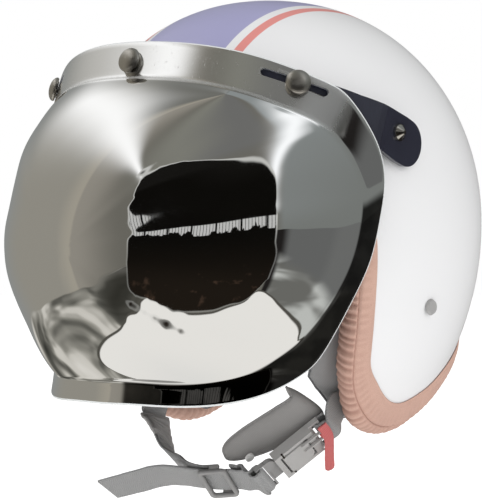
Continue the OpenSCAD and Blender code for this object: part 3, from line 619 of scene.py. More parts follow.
def cushion(name, a0, a1, z0, z1, d0, thick, sink0, sink1, follow, seams, body, material, repl, base=0.6, side=1, nu=120, nv=100, wr=0.35):
    """A closed pad on the foam: crowned face, rolled sides, and sewn channels across it; it returns its rim line for a
    welt seam.
    """
    u = np.linspace(0, 1, nu)
    v = np.linspace(0, 1, nv)
    # bunch the rows towards the borders so the rolled sides are well made
    f = lambda x: 0.5 - 0.5 * np.cos(np.pi * x)
    U, W = np.meshgrid(f(u), f(v), indexing="ij")
    back = pad_face(U, W, a0, a1, z0, z1, d0, 0.0, base, sink0, follow)
    front = pad_face(U, W, a0, a1, z0, z1, d0, thick, base, sink1, follow)
    edge = np.minimum(np.minimum(U, 1 - U) * 1.15, np.minimum(W, 1 - W))
    roll = np.sqrt(np.clip(1 - (1 - np.clip(edge / 0.13, 0, 1)) ** 2, 0, 1))
    mid = mix(back, front, 0.42)
    F1 = mix(mid, front, roll[..., None])
    B1 = mix(mid, back, (0.25 + 0.75 * roll)[..., None])
    N = unit(front - back)
    relief = np.zeros(U.shape)
    for kind, at, depth, w in seams:
        c = U if kind == "u" else W
        if kind == "o":
            rr = np.sqrt(((U - at[0]) / at[2]) ** 2 + ((W - at[1]) / at[3]) ** 2)
            relief -= depth * np.exp(-((rr - 1) / w) ** 2)
        else:
            relief -= depth * np.exp(-((c - at) / w) ** 2)
    pr = np.random.default_rng(abs(hash_name(name)))
    for _ in range(26):                                  # slack in the cover, pulling towards the borders
        cu, cw, th, ln, wd = pr.random(), pr.random(), pr.random() * math.pi, 0.06 + 0.16 * pr.random(), 0.008 + 0.016 * pr.random()
        x = (U - cu) * math.cos(th) + (W - cw) * math.sin(th)
        y = -(U - cu) * math.sin(th) + (W - cw) * math.cos(th)
        relief += wr * (pr.random() - 0.4) * np.exp(-(x / ln) ** 2 - (y / wd) ** 2)
    F1 = F1 + N * (relief * np.clip(edge / 0.05, 0, 1))[..., None]
    idx = np.arange(nu * nv).reshape(nu, nv)
    o = nu * nv
    V = np.concatenate([F1.reshape(-1, 3), B1.reshape(-1, 3)])
    Fs = grid_faces(nu, nv).tolist() + grid_faces(nu, nv, off=o, flip=True).tolist()
    rim = np.concatenate([idx[:, 0], idx[-1, 1:], idx[-2::-1, -1], idx[0, -2:0:-1]])
    Fs += [[int(rim[i]), int(rim[(i + 1) % len(rim)]), int(rim[(i + 1) % len(rim)] + o), int(rim[i] + o)] for i in range(len(rim))]
    rim_pts = mid.reshape(-1, 3)[rim]
    if side < 0:
        V = V * A(-1, 1, 1)
        rim_pts = rim_pts * A(-1, 1, 1)
    ob = make(name, V, Fs, body, material, [repl] if repl else [])
    return ob, rim_pts


def hash_name(s):
    h = 7
    for c in s:
        h = (h * 31 + ord(c)) % 1000003
    return h


def tube(name, P, r, body, material, closed=True, k=10, stretch=None):
    """Round piping along a path."""
    P = np.asarray(P, float)
    n = len(P)
    if closed:
        T = unit(np.roll(P, -1, 0) - np.roll(P, 1, 0))
    else:
        T = unit(np.gradient(P, axis=0))
    ref = unit(np.cross(T, A(0.3, 0.2, 0.93)))
    bi = np.cross(T, ref)
    th = np.arange(k) * 2 * math.pi / k
    G = P[:, None] + r * (np.cos(th)[None, :, None] * ref[:, None] + np.sin(th)[None, :, None] * bi[:, None])
    return closed_grid(name, G, body, material, wrap_u=closed)


def resample(P, n, closed=True):
    Q = np.concatenate([P, P[:1]]) if closed else P
    L = np.concatenate([[0], np.cumsum(np.linalg.norm(np.diff(Q, axis=0), axis=1))])
    s = np.linspace(0, L[-1], n + (1 if closed else 0))[:n]
    return np.stack([np.interp(s, L, Q[:, i]) for i in range(3)], -1)


for s, nm in ((1, "left"), (-1, "right")):
    seams = [("u", 0.5, 2.0, 0.018), ("v", 0.34, 1.6, 0.02)]
    ob, rim = cushion(nm + "_cheek_cushion", 57, 110, 0, -24, 18.1, 28, 7, 1, True, seams, "helmet", M_LINING, nm + "_cheek_pad", side=s)
    tube(nm + "_cheek_piping", resample(rim, 300), 0.9, "helmet", M_CROWN)
ob, rim = cushion("neck_roll_cushion", 134, 226, -70, -40, 17.1, 16, 0, 0, False, [("u", 0.25, 1.2, 0.012), ("u", 0.5, 1.2, 0.012), ("u", 0.75, 1.2, 0.012)],
                  "helmet", M_LINING, "neck_roll", base=0.5)
tube("neck_roll_piping", resample(rim, 300), 0.9, "helmet", M_CROWN)


# ------------------------------------------------------------------ edge trim
def edge_trim():
    n = 1560
    E, P, total = edge_ring(n)
    T = unit(np.roll(P, -1, 0) - np.roll(P, 1, 0))
    N0 = unit(E - (E * T).sum(-1, keepdims=True) * T)
    O0 = np.cross(T, N0)
    low = smooth((-P[:, 2] - 80) / 26)
    fw = 13.5 + 4 * low
    r = 4.9 + 4.4 * smooth((-P[:, 2] - 96) / 18)
    c = lambda a: a[:, None]
    S9, SF, SM = (on_shell(P - O0 * c(np.broadcast_to(k, (n,)))) for k in (9.0, fw * 0.9, fw * 0.5))
    S1 = on_shell(P - O0 * c(fw * 0.72))
    B = unit(S9 - P)
    O = -B
    N = unit(N0 - (N0 * B).sum(-1, keepdims=True) * B)
    d9 = unit(S9)
    I0, I9 = P - E * 13.4, S9 - d9 * 13.4
    R = c(r)
    ring = [SF + N * 0.35, SF + N * 1.05, SF + O0 * 0.9 + N * 1.5, S1 + N * 1.95, SM + N * 2.3, P - O0 * 2.2 + N * 2.5, P - O0 * 0.3 + N * 2.15, P + O * 0.9 + N * 2.0,
            P + O * (R * 0.45) + N * 1.4, P + O * (R * 0.80) - N * 0.6, P + O * (R * 0.97) - N * 3.2, P + O * R - N * 6.0, P + O * (R * 0.93) - N * 8.6, P + O * (R * 0.72) - N * 10.9,
            I0 + O * (R * 0.45) - N * 1.2, I0 + O * (R * 0.1) - N * 2.1, I9 - N * 2.2, I9 - N * 0.5, I0 + O * 0.6 - N * 0.3, P + O * 0.6 + N * 0.3, SM + N * 0.4]
    Q = np.stack(ring, 1)
    K = 4
    m = Q.shape[1]
    out, par = [], []
    for k in range(m):
        for j in range(K):
            out.append(cr(Q[:, (k - 1) % m], Q[:, k], Q[:, (k + 1) % m], Q[:, (k + 2) % m], j / K))
            par.append(k + j / K)
    G = np.stack(out, 1)
    par = np.array(par)
    # normals of the section
    du = np.roll(G, -1, 0) - np.roll(G, 1, 0)
    dv = np.roll(G, -1, 1) - np.roll(G, 1, 1)
    NN = unit(np.cross(dv, du))
    ctr = G.mean(1, keepdims=True)
    sgn = np.sign(((G - ctr) * NN).sum(-1).mean())
    NN = NN * sgn
    s = np.arange(n) * total / n
    phi = np.degrees(np.arctan2(P[:, 0], -P[:, 1]))
    tr = np.random.default_rng(11)
    # gathers: where the tape turns the corner it is pulled up into small pleats
    front = smooth((np.abs(phi) - 50) / 8) * (1 - smooth((np.abs(phi) - 74) / 10)) * smooth((-P[:, 2] + 10) / 30)
    low_corner = smooth((-P[:, 2] - 90) / 20)
    amp = 0.22 + 0.42 * front + 0.12 * low_corner
    ph = np.zeros(n)
    step = 2 * math.pi / 5.2
    walk = np.interp(np.arange(n), np.linspace(0, n, 160), tr.normal(0, 0.16, 160))
    ph = np.cumsum(total / n * step * (1 + walk))
    ph *= round(ph[-1] / (2 * math.pi)) * 2 * math.pi / ph[-1]
    slack = np.interp(np.arange(n), np.linspace(0, n, 420), 0.45 + 0.55 * tr.random(420))
    # each pleat starts at the seam and fades over the roll; it also leans a little
    k = par[None, :]
    roll_w = smooth((k - 6.6) / 1.2) * (1 - smooth((k - 12.5) / 2.5))
    flap_w = smooth((k - 3.2) / 1.5) * (1 - smooth((k - 5.6) / 0.9)) * 0.30
    lean = 0.22 * (k - 8)
    wave = np.sin(ph[:, None] + lean + 0.8 * np.sin(ph[:, None] * 0.37))
    wave = np.sign(wave) * np.abs(wave) ** 0.8
    fine = np.sin(ph[:, None] * 2.63 + 1.3 * lean + 1.0) * 0.28
    disp = (amp * slack)[:, None] * (wave + fine) * (roll_w + flap_w)
    # the seam: a narrow groove beside the roll with stitches every 3.2 mm
    groove = -0.85 * np.exp(-((k - 6.55) / 0.34) ** 2)
    stitch = 0.38 * np.exp(-((k - 6.55) / 0.3) ** 2) * (np.maximum(0, np.sin(2 * math.pi * s / (total / round(total / 3.2)))) ** 0.5)[:, None]
    disp = disp + groove + stitch
    # broad unevenness from the glue and thumb pressure
    uneven = np.interp(np.arange(n), np.linspace(0, n, 90), tr.normal(0, 0.16, 90))
    disp = disp + uneven[:, None] * smooth((k - 1.5) / 1.5) * (1 - smooth((k - 13) / 2))
    G = G + NN * disp[..., None]
    # painted shade in the valleys between the pleats and in the seam's groove
    crease = np.clip(0.5 - 0.5 * wave, 0, 1) * (roll_w + flap_w) * (amp / 0.64)[:, None] * 0.8 + np.exp(-((k - 6.55) / 0.3) ** 2) * 0.9
    return closed_grid("edge_trim_leather", G, "helmet", M_TRIM, replaces=["edge_trim"],
                       attrs={"crease": np.clip(crease + 0 * G[..., 0], 0, 1)}), (P, O, N, s, total)


trim_ob, _ = edge_trim()


# ------------------------------------------------------------------ the shield
def cyl(a, h):
    y, ca = -133.5 * math.cos(math.radians(a)), math.radians(20.5)
    return A(133.5 * math.sin(math.radians(a)), -3.3 + y * math.cos(ca) + h * math.sin(ca), 50.5 - y * math.sin(ca) + h * math.cos(ca))


APEX = A(0, -186, -12)
EDGE_HALF = [cyl(0, 12.5), cyl(15, 12.5), cyl(30, 11.5), cyl(43, 8.5), (108, -77.6, 83.4), (116.5, -67.9, 73.7), (124, -55, 51.4), (127, -50.4, 28.9),
             (127, -54.1, 7.6), (124.5, -59.3, -15.9), (118, -66.9, -38.9), (103.5, -74.4, -69), (93.3, -84.1, -84.6), (80.3, -110.4, -96.5),
             (54.9, -136.6, -101.5), (24.8, -150.7, -101.1), (0, -154, -101.1)]
CREASE_HALF = [cyl(0, -10.5), cyl(15, -10.5), cyl(30, -11.5), cyl(41, -14.5), (102, -91, 64), (111.5, -78, 53), (118, -68, 37), (121.5, -63, 20),
               (122.3, -65.5, 2), (120, -70.5, -18), (113.5, -78.5, -39), (101, -88, -60.5), (89.5, -99.5, -74), (76, -114.5, -84.5),
               (53.5, -134.7, -89.5), (24.2, -148.4, -89.3), (0, -151.6, -89.1)]
SLOPE = [52, 60, 82, 68, 40]


def shield_faces():
    n, m = 704, 72
    Bp = spline_closed(mirrored(EDGE_HALF), n, arc=False)
    Kp = spline_closed(mirrored(CREASE_HALF), n, arc=False)
    k32 = np.arange(n) * 32 / n
    ks = np.where(k32 <= 16, k32, 32 - k32)
    sl = spline_closed_scalar(np.array([SLOPE[0], SLOPE[1], SLOPE[2], SLOPE[3], SLOPE[4], SLOPE[3], SLOPE[2], SLOPE[1]], float), k32 / 4, 8)
    sl = np.radians(sl)

    def dome(v):
        lat = np.sin(v * sl) / np.sin(sl)
        dep = (1 - np.cos(v * sl)) / (1 - np.cos(sl))
        D = Kp - APEX
        return APEX + np.stack([D[:, 0] * lat, D[:, 1] * dep, D[:, 2] * lat], -1)
    G = [np.broadcast_to(APEX, (1, 3))[0]]
    v_end = 1 - 2.6 / np.linalg.norm(Kp - APEX, axis=1)
    for k in range(1, m + 1):
        G.append(dome(k / m * v_end))
    P0 = G[-1]
    w = np.minimum(2.6 / np.linalg.norm(Bp - Kp, axis=1), 0.4)[:, None]
    P2 = Kp + (Bp - Kp) * w
    for j in range(1, 9):
        t = j / 8
        G.append((1 - t) ** 2 * P0 + 2 * t * (1 - t) * Kp + t * t * P2)
    for j in range(1, 9):
        G.append(mix(P2, Bp, j / 8 * 0.96))
    return G


def grid_normals(G):
    n = len(G[1])
    out = []
    for k in range(1, len(G)):
        a = np.roll(G[k], -1, 0) - np.roll(G[k], 1, 0)
        up = G[k + 1] if k < len(G) - 1 else G[k]
        dn = G[k - 1] if k > 1 else np.broadcast_to(G[0], G[k].shape)
        out.append(unit(np.cross(a, up - dn)))
    return out


SG = shield_faces()
EDGE_X_FIRST = float(SG[-1][len(SG[1]) // 4][0])        # the border's points start at the brow and run down this side
SN = grid_normals(SG)
# the cross product points out of the dome or into it: make it point away from the head
if (SN[20] * (SG[21] - A(0, -60, -10))).sum(-1).mean() < 0:
    SN = [-x for x in SN]
TH = 2.0
inner = [SG[0] + A(0, TH, 0)] + [g - TH * nn for g, nn in zip(SG[1:], SN)]
# rounded outer border between the two faces
tip = unit(SG[-1] - SG[-2])
n_ = len(SG[1])
border = []
for a in (30, 60, 90, 120, 150):
    th = math.radians(a)
    border.append(SG[-1] - SN[-1] * (TH / 2) + SN[-1] * (TH / 2) * math.cos(th) + tip * (TH / 2) * math.sin(th))
flat = np.concatenate([SG[0][None], np.concatenate(SG[1:]), np.concatenate(border), np.concatenate(inner[:0:-1]), inner[0][None]])
F, MI = [], []
rows = (len(SG) - 1) * 2 + len(border)
for i in range(n_):
    F.append([0, 1 + (i + 1) % n_, 1 + i])
    MI.append(0)
body_f = grid_faces(rows, n_, wrap_v=True) + 1
F += body_f.tolist()
no = len(SG) - 1
for rr in range(rows - 1):
    MI += [0 if rr < no - 1 else (1 if rr < no - 1 + len(border) + 1 else 2)] * n_
last = 1 + (rows - 1) * n_
for i in range(n_):
    F.append([last + n_, last + i, last + (i + 1) % n_])
    MI.append(2)
# how far each row lies across the border (0 at the dome, 1 at the outer edge)
nb = n_
k_row = np.zeros(len(SG) - 1)
k_row[72:] = np.linspace(0, 1, len(SG) - 1 - 72)
cross = np.concatenate([[0], np.repeat(k_row, nb), np.ones(nb * len(border)), np.repeat(k_row[::-1], nb), [0]])
k32_ = np.arange(nb) * 32 / nb
kk = np.where(k32_ <= 16, k32_, 32 - k32_)
brow = 1 - smooth((kk - 3.0) / 2.5)
sides = smooth((kk - 6.7) / 0.5) * (1 - smooth((kk - 13.4) / 1.2))
rows_all = len(SG) - 1 + len(border) + len(SG) - 1
brow_v = np.concatenate([[0], np.tile(brow, rows_all), [0]]) * smooth(cross / 0.35)
side_v = np.concatenate([[0], np.tile(sides, rows_all), [0]]) * smooth((cross - 0.12) / 0.16)
# painted dark reflection on the lower border, from the left cheek round to the right of the chin
kr_ = np.where(k32_ <= 16, k32_, k32_)
ends = smooth((kr_ - 7.2) / 0.35) * (1 - smooth((kr_ - 15.3) / 0.15))
if EDGE_X_FIRST < 0:
    ends = ends[::-1]
painted_rim_reflection = np.concatenate([[0], np.tile(ends, rows_all), [0]]) * smooth((cross - 0.02) / 0.12)
shield = make("mirror_shield", flat, F, None, None, outward=False, attrs={"brow": brow_v, "side": side_v, "rim": painted_rim_reflection})
me = shield.data
M_INNER = mat_plastic("shield_inner_face", srgb(58, 58, 66), srgb(72, 72, 80), 0.12, 120.0, 0.02, 0.5)
M_SLOT = mat_plastic("slot_wall", srgb(120, 122, 128), srgb(150, 152, 158), 0.3, 400.0, 0.1)
for mm in (M_MIRROR, M_EDGE, M_INNER, M_SLOT):
    me.materials.append(mm)
me.polygons.foreach_set("material_index", np.array(MI, np.int32))
me.update()
bm = bmesh.new()
bm.from_mesh(me)
bmesh.ops.recalc_face_normals(bm, faces=bm.faces)
bm.to_mesh(me)
bm.free()

VIS = Matrix.Translation((0, -3.3 * MM, 50.5 * MM)) @ Matrix.Rotation(math.radians(-20.5), 4, "X")


def cutter(a, slot_len):
    """Stadium-shaped prism along the radius at angle a of the visor frame."""
    pts = []
    if slot_len is None:
        pts = [(2.2 * math.cos(t), 2.2 * math.sin(t)) for t in np.linspace(0, 2 * math.pi, 48, endpoint=False)]
    else:
        lo, hi = slot_len
        pts = [(hi + 2.3 * math.cos(t), 2.3 * math.sin(t)) for t in np.linspace(-math.pi / 2, math.pi / 2, 24)]
        pts += [(-lo + 2.3 * math.cos(t), 2.3 * math.sin(t)) for t in np.linspace(math.pi / 2, 3 * math.pi / 2, 24)]
    lean = 0.0 if slot_len is None else math.copysign(5.4, a)
    R = Matrix.Rotation(math.radians(a), 4, "Z") @ Matrix.Rotation(math.radians(lean), 4, "Y")
    V = []
    for y in (-150, -122):
        for x, z in pts:
            V.append(VIS @ R @ Vector((x * MM, y * MM, z * MM)))
    n = len(pts)
    F = [[i, (i + 1) % n, n + (i + 1) % n, n + i] for i in range(n)] + [list(range(n))[::-1], list(range(n, 2 * n))]
    me = bpy.data.meshes.new("cut")
    me.from_pydata(V, [], F)
    for mm in (M_MIRROR, M_EDGE, M_INNER, M_SLOT):
        me.materials.append(mm)
    me.polygons.foreach_set("material_index", np.full(len(F), 3, np.int32))
    bm = bmesh.new()
    bm.from_mesh(me)
    bmesh.ops.recalc_face_normals(bm, faces=bm.faces)
    bm.to_mesh(me)
    bm.free()
    ob = bpy.data.objects.new("cut", me)
    scene.collection.objects.link(ob)
    return ob


cuts = [cutter(0, None), cutter(-45.5, (16, 20)), cutter(45.5, (20, 16))]
for c in cuts:
    md = shield.modifiers.new("hole", "BOOLEAN")
    md.operation = "DIFFERENCE"
    md.object = c
    md.solver = "MANIFOLD"
dg = bpy.context.evaluated_depsgraph_get()
me2 = bpy.data.meshes.new_from_object(shield.evaluated_get(dg))
shield.modifiers.clear()
shield.data = me2
for c in cuts:
    bpy.data.objects.remove(c, do_unlink=True)
me2.shade_smooth()
# keep the rims of the holes crisp
bm = bmesh.new()
bm.from_mesh(me2)
for e in bm.edges:
    if len(e.link_faces) == 2 and e.link_faces[0].material_index != e.link_faces[1].material_index and 3 in (e.link_faces[0].material_index, e.link_faces[1].material_index):
        e.smooth = False
bm.to_mesh(me2)
bm.free()
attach(shield, "visor")
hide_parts("bubble_shield")


# ------------------------------------------------------------------ straps
def fr(o, x, yref):
    x = unit(A(*x))
    y = unit(A(*yref) - np.dot(A(*yref), x) * x)
    return A(*o), x, y, np.cross(x, y)


BO, SU, SW, SI = fr((56.4, -42.2, -133.8), (-57.4, -52.7, -62.7), (0.214, -0.836, 0.506))
SO, TU, TW, TI = fr((9.7, -61.3, -153), (-91.3, -38.2, -10.8), (0.254, -0.772, 0.58))
sf = lambda x, y, z: BO + SU * x + SW * y + SI * z
tf = lambda x, y, z: SO + TU * x + TW * y + TI * z


def web(name, P, W, width, t, body, material, repl, bow=0.0, edge_r=None, k=26, widths=None, wob=0.12, seed=3, stitches=None):
    """Woven strap: rounded selvedges, and a slight waviness along its edges. UV in metres."""
    P, W = np.asarray(P, float), np.asarray(W, float)
    T = unit(np.gradient(P, axis=0))
    V_ = unit(W - (W * T).sum(-1, keepdims=True) * T)
    U_ = np.cross(T, V_)
    s = np.concatenate([[0], np.cumsum(np.linalg.norm(np.diff(P, axis=0), axis=1))])
    n = len(P)
    wd = np.full(n, float(width)) if widths is None else np.asarray(widths, float)
    pr = np.random.default_rng(seed)
    wv = np.interp(s, np.linspace(0, s[-1], 40), pr.normal(0, wob, 40))
    x = np.concatenate([np.cos(np.linspace(0, math.pi, k))])            # 1..-1 across, top face
    prof = []
    for xx in np.linspace(1, -1, k):
        prof.append((xx, 1.0))
    for xx in np.linspace(-1, 1, k):
        prof.append((xx, -1.0))
    G = np.zeros((n, 2 * k, 3))
    UV = np.zeros((n, 2 * k, 2))
    for j, (xx, sd) in enumerate(prof):
        a = abs(xx)
        th = t / 2 * np.sqrt(np.clip(1 - ((a - 0.93) / 0.07) ** 2 if a > 0.93 else 1.0, 0.02, 1))
        if 0.86 < a < 0.93:
            th = th * 1.08                                               # corded selvedge
        if a < 0.86:
            th = th * (0.94)
        lift = bow * (1 - xx * xx)
        G[:, j] = P + V_ * (xx * (wd / 2 + wv * a))[:, None] + U_ * (sd * th + lift)
        UV[:, j, 0] = (xx * width / 2 + (0 if sd > 0 else 100)) * MM
        UV[:, j, 1] = s * MM
    return closed_grid(name, G, body, material, wrap_u=False, replaces=repl, uv=UV)


def wmix(a, b, n, off=0, span=8.0):
    return np.array([mix(A(*a), A(*b), float(smooth((i + off) / span))) for i in range(n)])


ANCHOR = path([(97.6, 9.5, -53), (92.9, 3, -67), (87, -5.5, -79.5), (79.7, -14, -90.5), (74, -20, -98.8)], 12)
for sgn, nm in ((1, "left"), (-1, "right")):
    web(nm + "_anchor_webbing", ANCHOR * A(sgn, 1, 1), np.tile(A(0.1 * sgn, -0.8, 0.55), (len(ANCHOR), 1)), 21.6, 1.8, "helmet", M_WEB, [nm + "_anchor_strap"], seed=5 + sgn)

TOP_S = np.array([0.995, 0.975, 0.94, 0.89, 0.82, 0.73, 0.62, 0.49, 0.34, 0.17])


def with_top(P, r=10.8):
    d = unit(P[0] - P[1])
    return np.concatenate([P[0] + d * r * TOP_S[:, None], P]), np.concatenate([2 * r * np.sqrt(1 - TOP_S ** 2)])


ST = 14
LP = path([(71.8, -26.4, -109), (71.8, -28, -114), sf(-25, 0, -1.7), sf(-20.8, 0, -1.8), sf(-18.3, 0, -1.5), sf(-16.8, 0, 0.9), sf(-18.3, 0, 3.3),
           sf(-20.8, 0, 3.6), sf(-23, 0, 3.5), sf(-25.4, 0, 3.5)], ST)
LT, lw = with_top(LP)
web("left_strap_webbing", LT, np.array([mix(A(0.12, -0.84, 0.5), SW, float(smooth((i - 10) / ST * 4 / 8))) for i in range(len(LT))]), 21.6, 1.8, "chin_strap", M_WEB, ["left_strap"],
    widths=np.concatenate([lw, np.full(len(LP), 21.6)]), seed=21)
RP = path([(-71.6, -26.6, -109), (-71.8, -27.8, -114), (-70.8, -28.6, -122), (-62, -32, -134), (-49, -39.7, -143), (-28.3, -48.5, -147.8), tf(17, -1.5, 8.2), tf(9, 0, 4.6), tf(1.5, 0, 4)], ST)
RT, rw = with_top(RP)
rdir = lambda i: mix(A(-0.12, -0.84, 0.5), TW, float(smooth(i / ST * 4 / 28)))
web("right_strap_webbing", RT, np.array([rdir(i - 10) for i in range(len(RT))]), 21.6, 1.8, "strap_end", M_WEB, ["right_strap"],
    widths=np.concatenate([rw, np.full(len(RP), 21.6)]), seed=22)
SWW = 9
WP = path([tf(-11.5, 0, 2.7), tf(-15.5, 0.6, 1.5), tf(-20, 1.8, 0.2), sf(31, 0, 3.5), sf(28, 0, 3.4), sf(25.4, 0, 3.0), sf(23.9, 0, 0.42), sf(25.4, 0, -2.2), sf(28, 0, -2.5),
           sf(30.5, 0, -2.0), tf(-22.5, 2.6, -3.8), tf(-16, 1, -2.2), tf(-9.5, 0, -0.3), tf(0, 0, 0), (-4.2, -65, -152.6), (-18, -67, -151.8), (-32.2, -68, -153), (-54.2, -70, -159),
           (-70.4, -72.8, -163.5)], SWW)
won = np.array([0, 0, 0.3, 1, 1, 1, 1, 1, 1, 1, 0.3, 0, 0, 0, 0, 0, 0, 0, 0], float)
web("chin_webbing_woven", WP, np.array([mix(TW, SW, float(np.interp(i / SWW, range(19), won))) for i in range(len(WP))]), 23.2, 1.8, "strap_end", M_WEB, ["chin_webbing"], seed=23, bow=0.0)
# the pull tape's ring round its bar and its flat tail
TP = path([sf(-20, 14.5, -6.3), sf(-20, 8, -7.0), sf(-18.8, 1, -7.4), sf(-15.5, -7, -7.5), sf(-11.5, -15.5, -7.8), sf(-7.4, -24.5, -8.6)], 16)
nt = len(TP)
sl_ = np.linspace(0, 1, nt)
taper = 6.4 * np.sqrt(np.clip(1 - np.clip((sl_ - 0.93) / 0.075, 0, 1) ** 2, 0.03, 1))
web("release_tape", TP, np.tile(-SU, (nt, 1)), 6.4, 1.2, "release_tab", M_TAB, ["release_tab"], widths=taper, k=16, wob=0.05, seed=31)
ringc = sf(-17.5, 4.9, -4.9)
loop = np.array([ringc + SU * 1.45 * math.cos(a) + SI * 1.45 * math.sin(a) for a in np.linspace(0, 2 * math.pi, 41)[:-1]])
lg = []
for p in loop:
    rad = unit(p - ringc)
    lg.append([p + rad * dx + SW * dy for dx, dy in ((0.4, -2.3), (0.48, 0), (0.4, 2.3), (0, 2.4), (-0.4, 2.3), (-0.42, 0), (-0.4, -2.3), (0, -2.4))])
lv = np.array(lg)
luv = np.zeros((len(loop), 8, 2))
luv[..., 0] = np.array([-2.3, 0, 2.3, 2.4, 2.3, 0, -2.3, -2.4])[None] * MM
luv[..., 1] = (np.arange(len(loop)) * 0.23 * MM)[:, None]
closed_grid("release_tape_loop", lv, "release_tab", M_TAB, wrap_u=True, uv=luv)


# ------------------------------------------------------------------ chin pad and sleeve
def pillow(name, G, half, body, material, repl, relief=None, welt=0.9, welt_mat=None):
    """Two crowned faces on a middle surface G[u][v], with a piped seam round the edge."""
    nu, nv = G.shape[:2]
    du, dv = np.gradient(G, axis=0), np.gradient(G, axis=1)
    N = unit(np.cross(du, dv))
    rel = 0 if relief is None else relief
    up, dn = G + N * (half + rel)[..., None], G - N * (half + rel * 0.7)[..., None]
    idx = np.arange(nu * nv).reshape(nu, nv)
    o = nu * nv
    V = np.concatenate([up.reshape(-1, 3), dn.reshape(-1, 3)])
    Fs = grid_faces(nu, nv).tolist() + grid_faces(nu, nv, off=o, flip=True).tolist()
    rim = np.concatenate([idx[:, 0], idx[-1, 1:], idx[-2::-1, -1], idx[0, -2:0:-1]])
    Fs += [[int(rim[i]), int(rim[(i + 1) % len(rim)]), int(rim[(i + 1) % len(rim)] + o), int(rim[i] + o)] for i in range(len(rim))]
    ob = make(name, V, Fs, body, material, repl)
    if welt:
        tube(name + "_piping", resample(G.reshape(-1, 3)[rim], 260), welt, body, welt_mat or material, k=10)
    return ob


PH = path([(55, -52.5, -95), (58, -51.5, -101), (49, -55.5, -108), (40.8, -58.5, -113.5), (27.9, -61.7, -121.8), (14.5, -64.5, -132)], 30)
PL = path([(59, -34.5, -110), (65.5, -30, -113), (60, -33.5, -120.5), (50.5, -39, -127.5), (33, -48, -136.5), (15.5, -59.5, -142.4)], 30)
nv = 60
su_ = np.linspace(0, 1, len(PH))
sv_ = 0.5 - 0.5 * np.cos(np.pi * np.linspace(0, 1, nv))
PG = PL[:, None] + (PH - PL)[:, None] * sv_[None, :, None]
UU, VV = np.meshgrid(su_, sv_, indexing="ij")
hv = np.sqrt(np.clip(1 - np.abs(2 * VV - 1) ** 2.6, 0, 1)) * np.sqrt(np.clip(1 - np.abs(2 * UU - 1) ** 9, 0, 1))
half = 0.25 + 3.35 * hv
rl = -1.0 * np.exp(-((VV - 0.5) / 0.03) ** 2) * 0
pr = np.random.default_rng(17)
for _ in range(22):
    cu, cv, th, ln, wd = pr.random(), pr.random(), pr.normal(0, 0.5), 0.05 + 0.1 * pr.random(), 0.012 + 0.014 * pr.random()
    x = (UU - cu) * math.sin(th) * 1.6 + (VV - cv) * math.cos(th)
    y = (UU - cu) * math.cos(th) * 1.6 - (VV - cv) * math.sin(th)
    rl = rl + 0.30 * (pr.random() - 0.45) * np.exp(-(x / (ln * 2)) ** 2 - (y / wd) ** 2)
# rounded free end
endr = np.clip((su_ - 0.88) / 0.12, 0, 1)
pin_ = (1 - np.sqrt(np.clip(1 - endr ** 2, 0, 1)))[:, None] * 0.40
VVr = VV + (0.5 - VV) * pin_ * 2 * 0.9
PG = PL[:, None] + (PH - PL)[:, None] * VVr[..., None]
pillow("chin_pad_cushion", PG, half, "chin_strap", M_PAD, ["chin_pad"], relief=rl * hv, welt=0.7, welt_mat=M_PAD)

SP = path([(-71.2, -28.6, -121), (-68.8, -29.2, -125.5), (-64.8, -30.8, -130.6), (-59.4, -33.4, -136)], 22)
nS = len(SP)
Tt = unit(np.gradient(SP, axis=0))
WD = np.array([rdir(i * 14 / 22 + 28) for i in range(nS)])
Vv = unit(WD - (WD * Tt).sum(-1, keepdims=True) * Tt)
Uu = np.cross(Tt, Vv)
ks = 72
a_ = np.linspace(0, 2 * math.pi, ks, endpoint=False)
cx = np.sign(np.cos(a_)) * np.abs(np.cos(a_)) ** 0.55
cz = np.sign(np.sin(a_)) * np.abs(np.sin(a_)) ** 0.8
uS = np.linspace(0, 1, nS)
endp = np.sqrt(np.clip(1 - np.abs(2 * uS - 1) ** 8, 0, 1))
ribs = 0.25 * np.cos(2 * math.pi * uS * 5)
SG_ = SP[:, None] + Vv[:, None] * (cx[None, :, None] * (16.4 * (0.97 + 0.03 * endp))[:, None, None]) + Uu[:, None] * (cz[None, :, None] * (1.4 + 1.15 * endp + ribs * endp)[:, None, None])
slv = closed_grid("right_sleeve_cushion", SG_, "strap_end", M_PAD, wrap_u=False, replaces=["right_sleeve"])


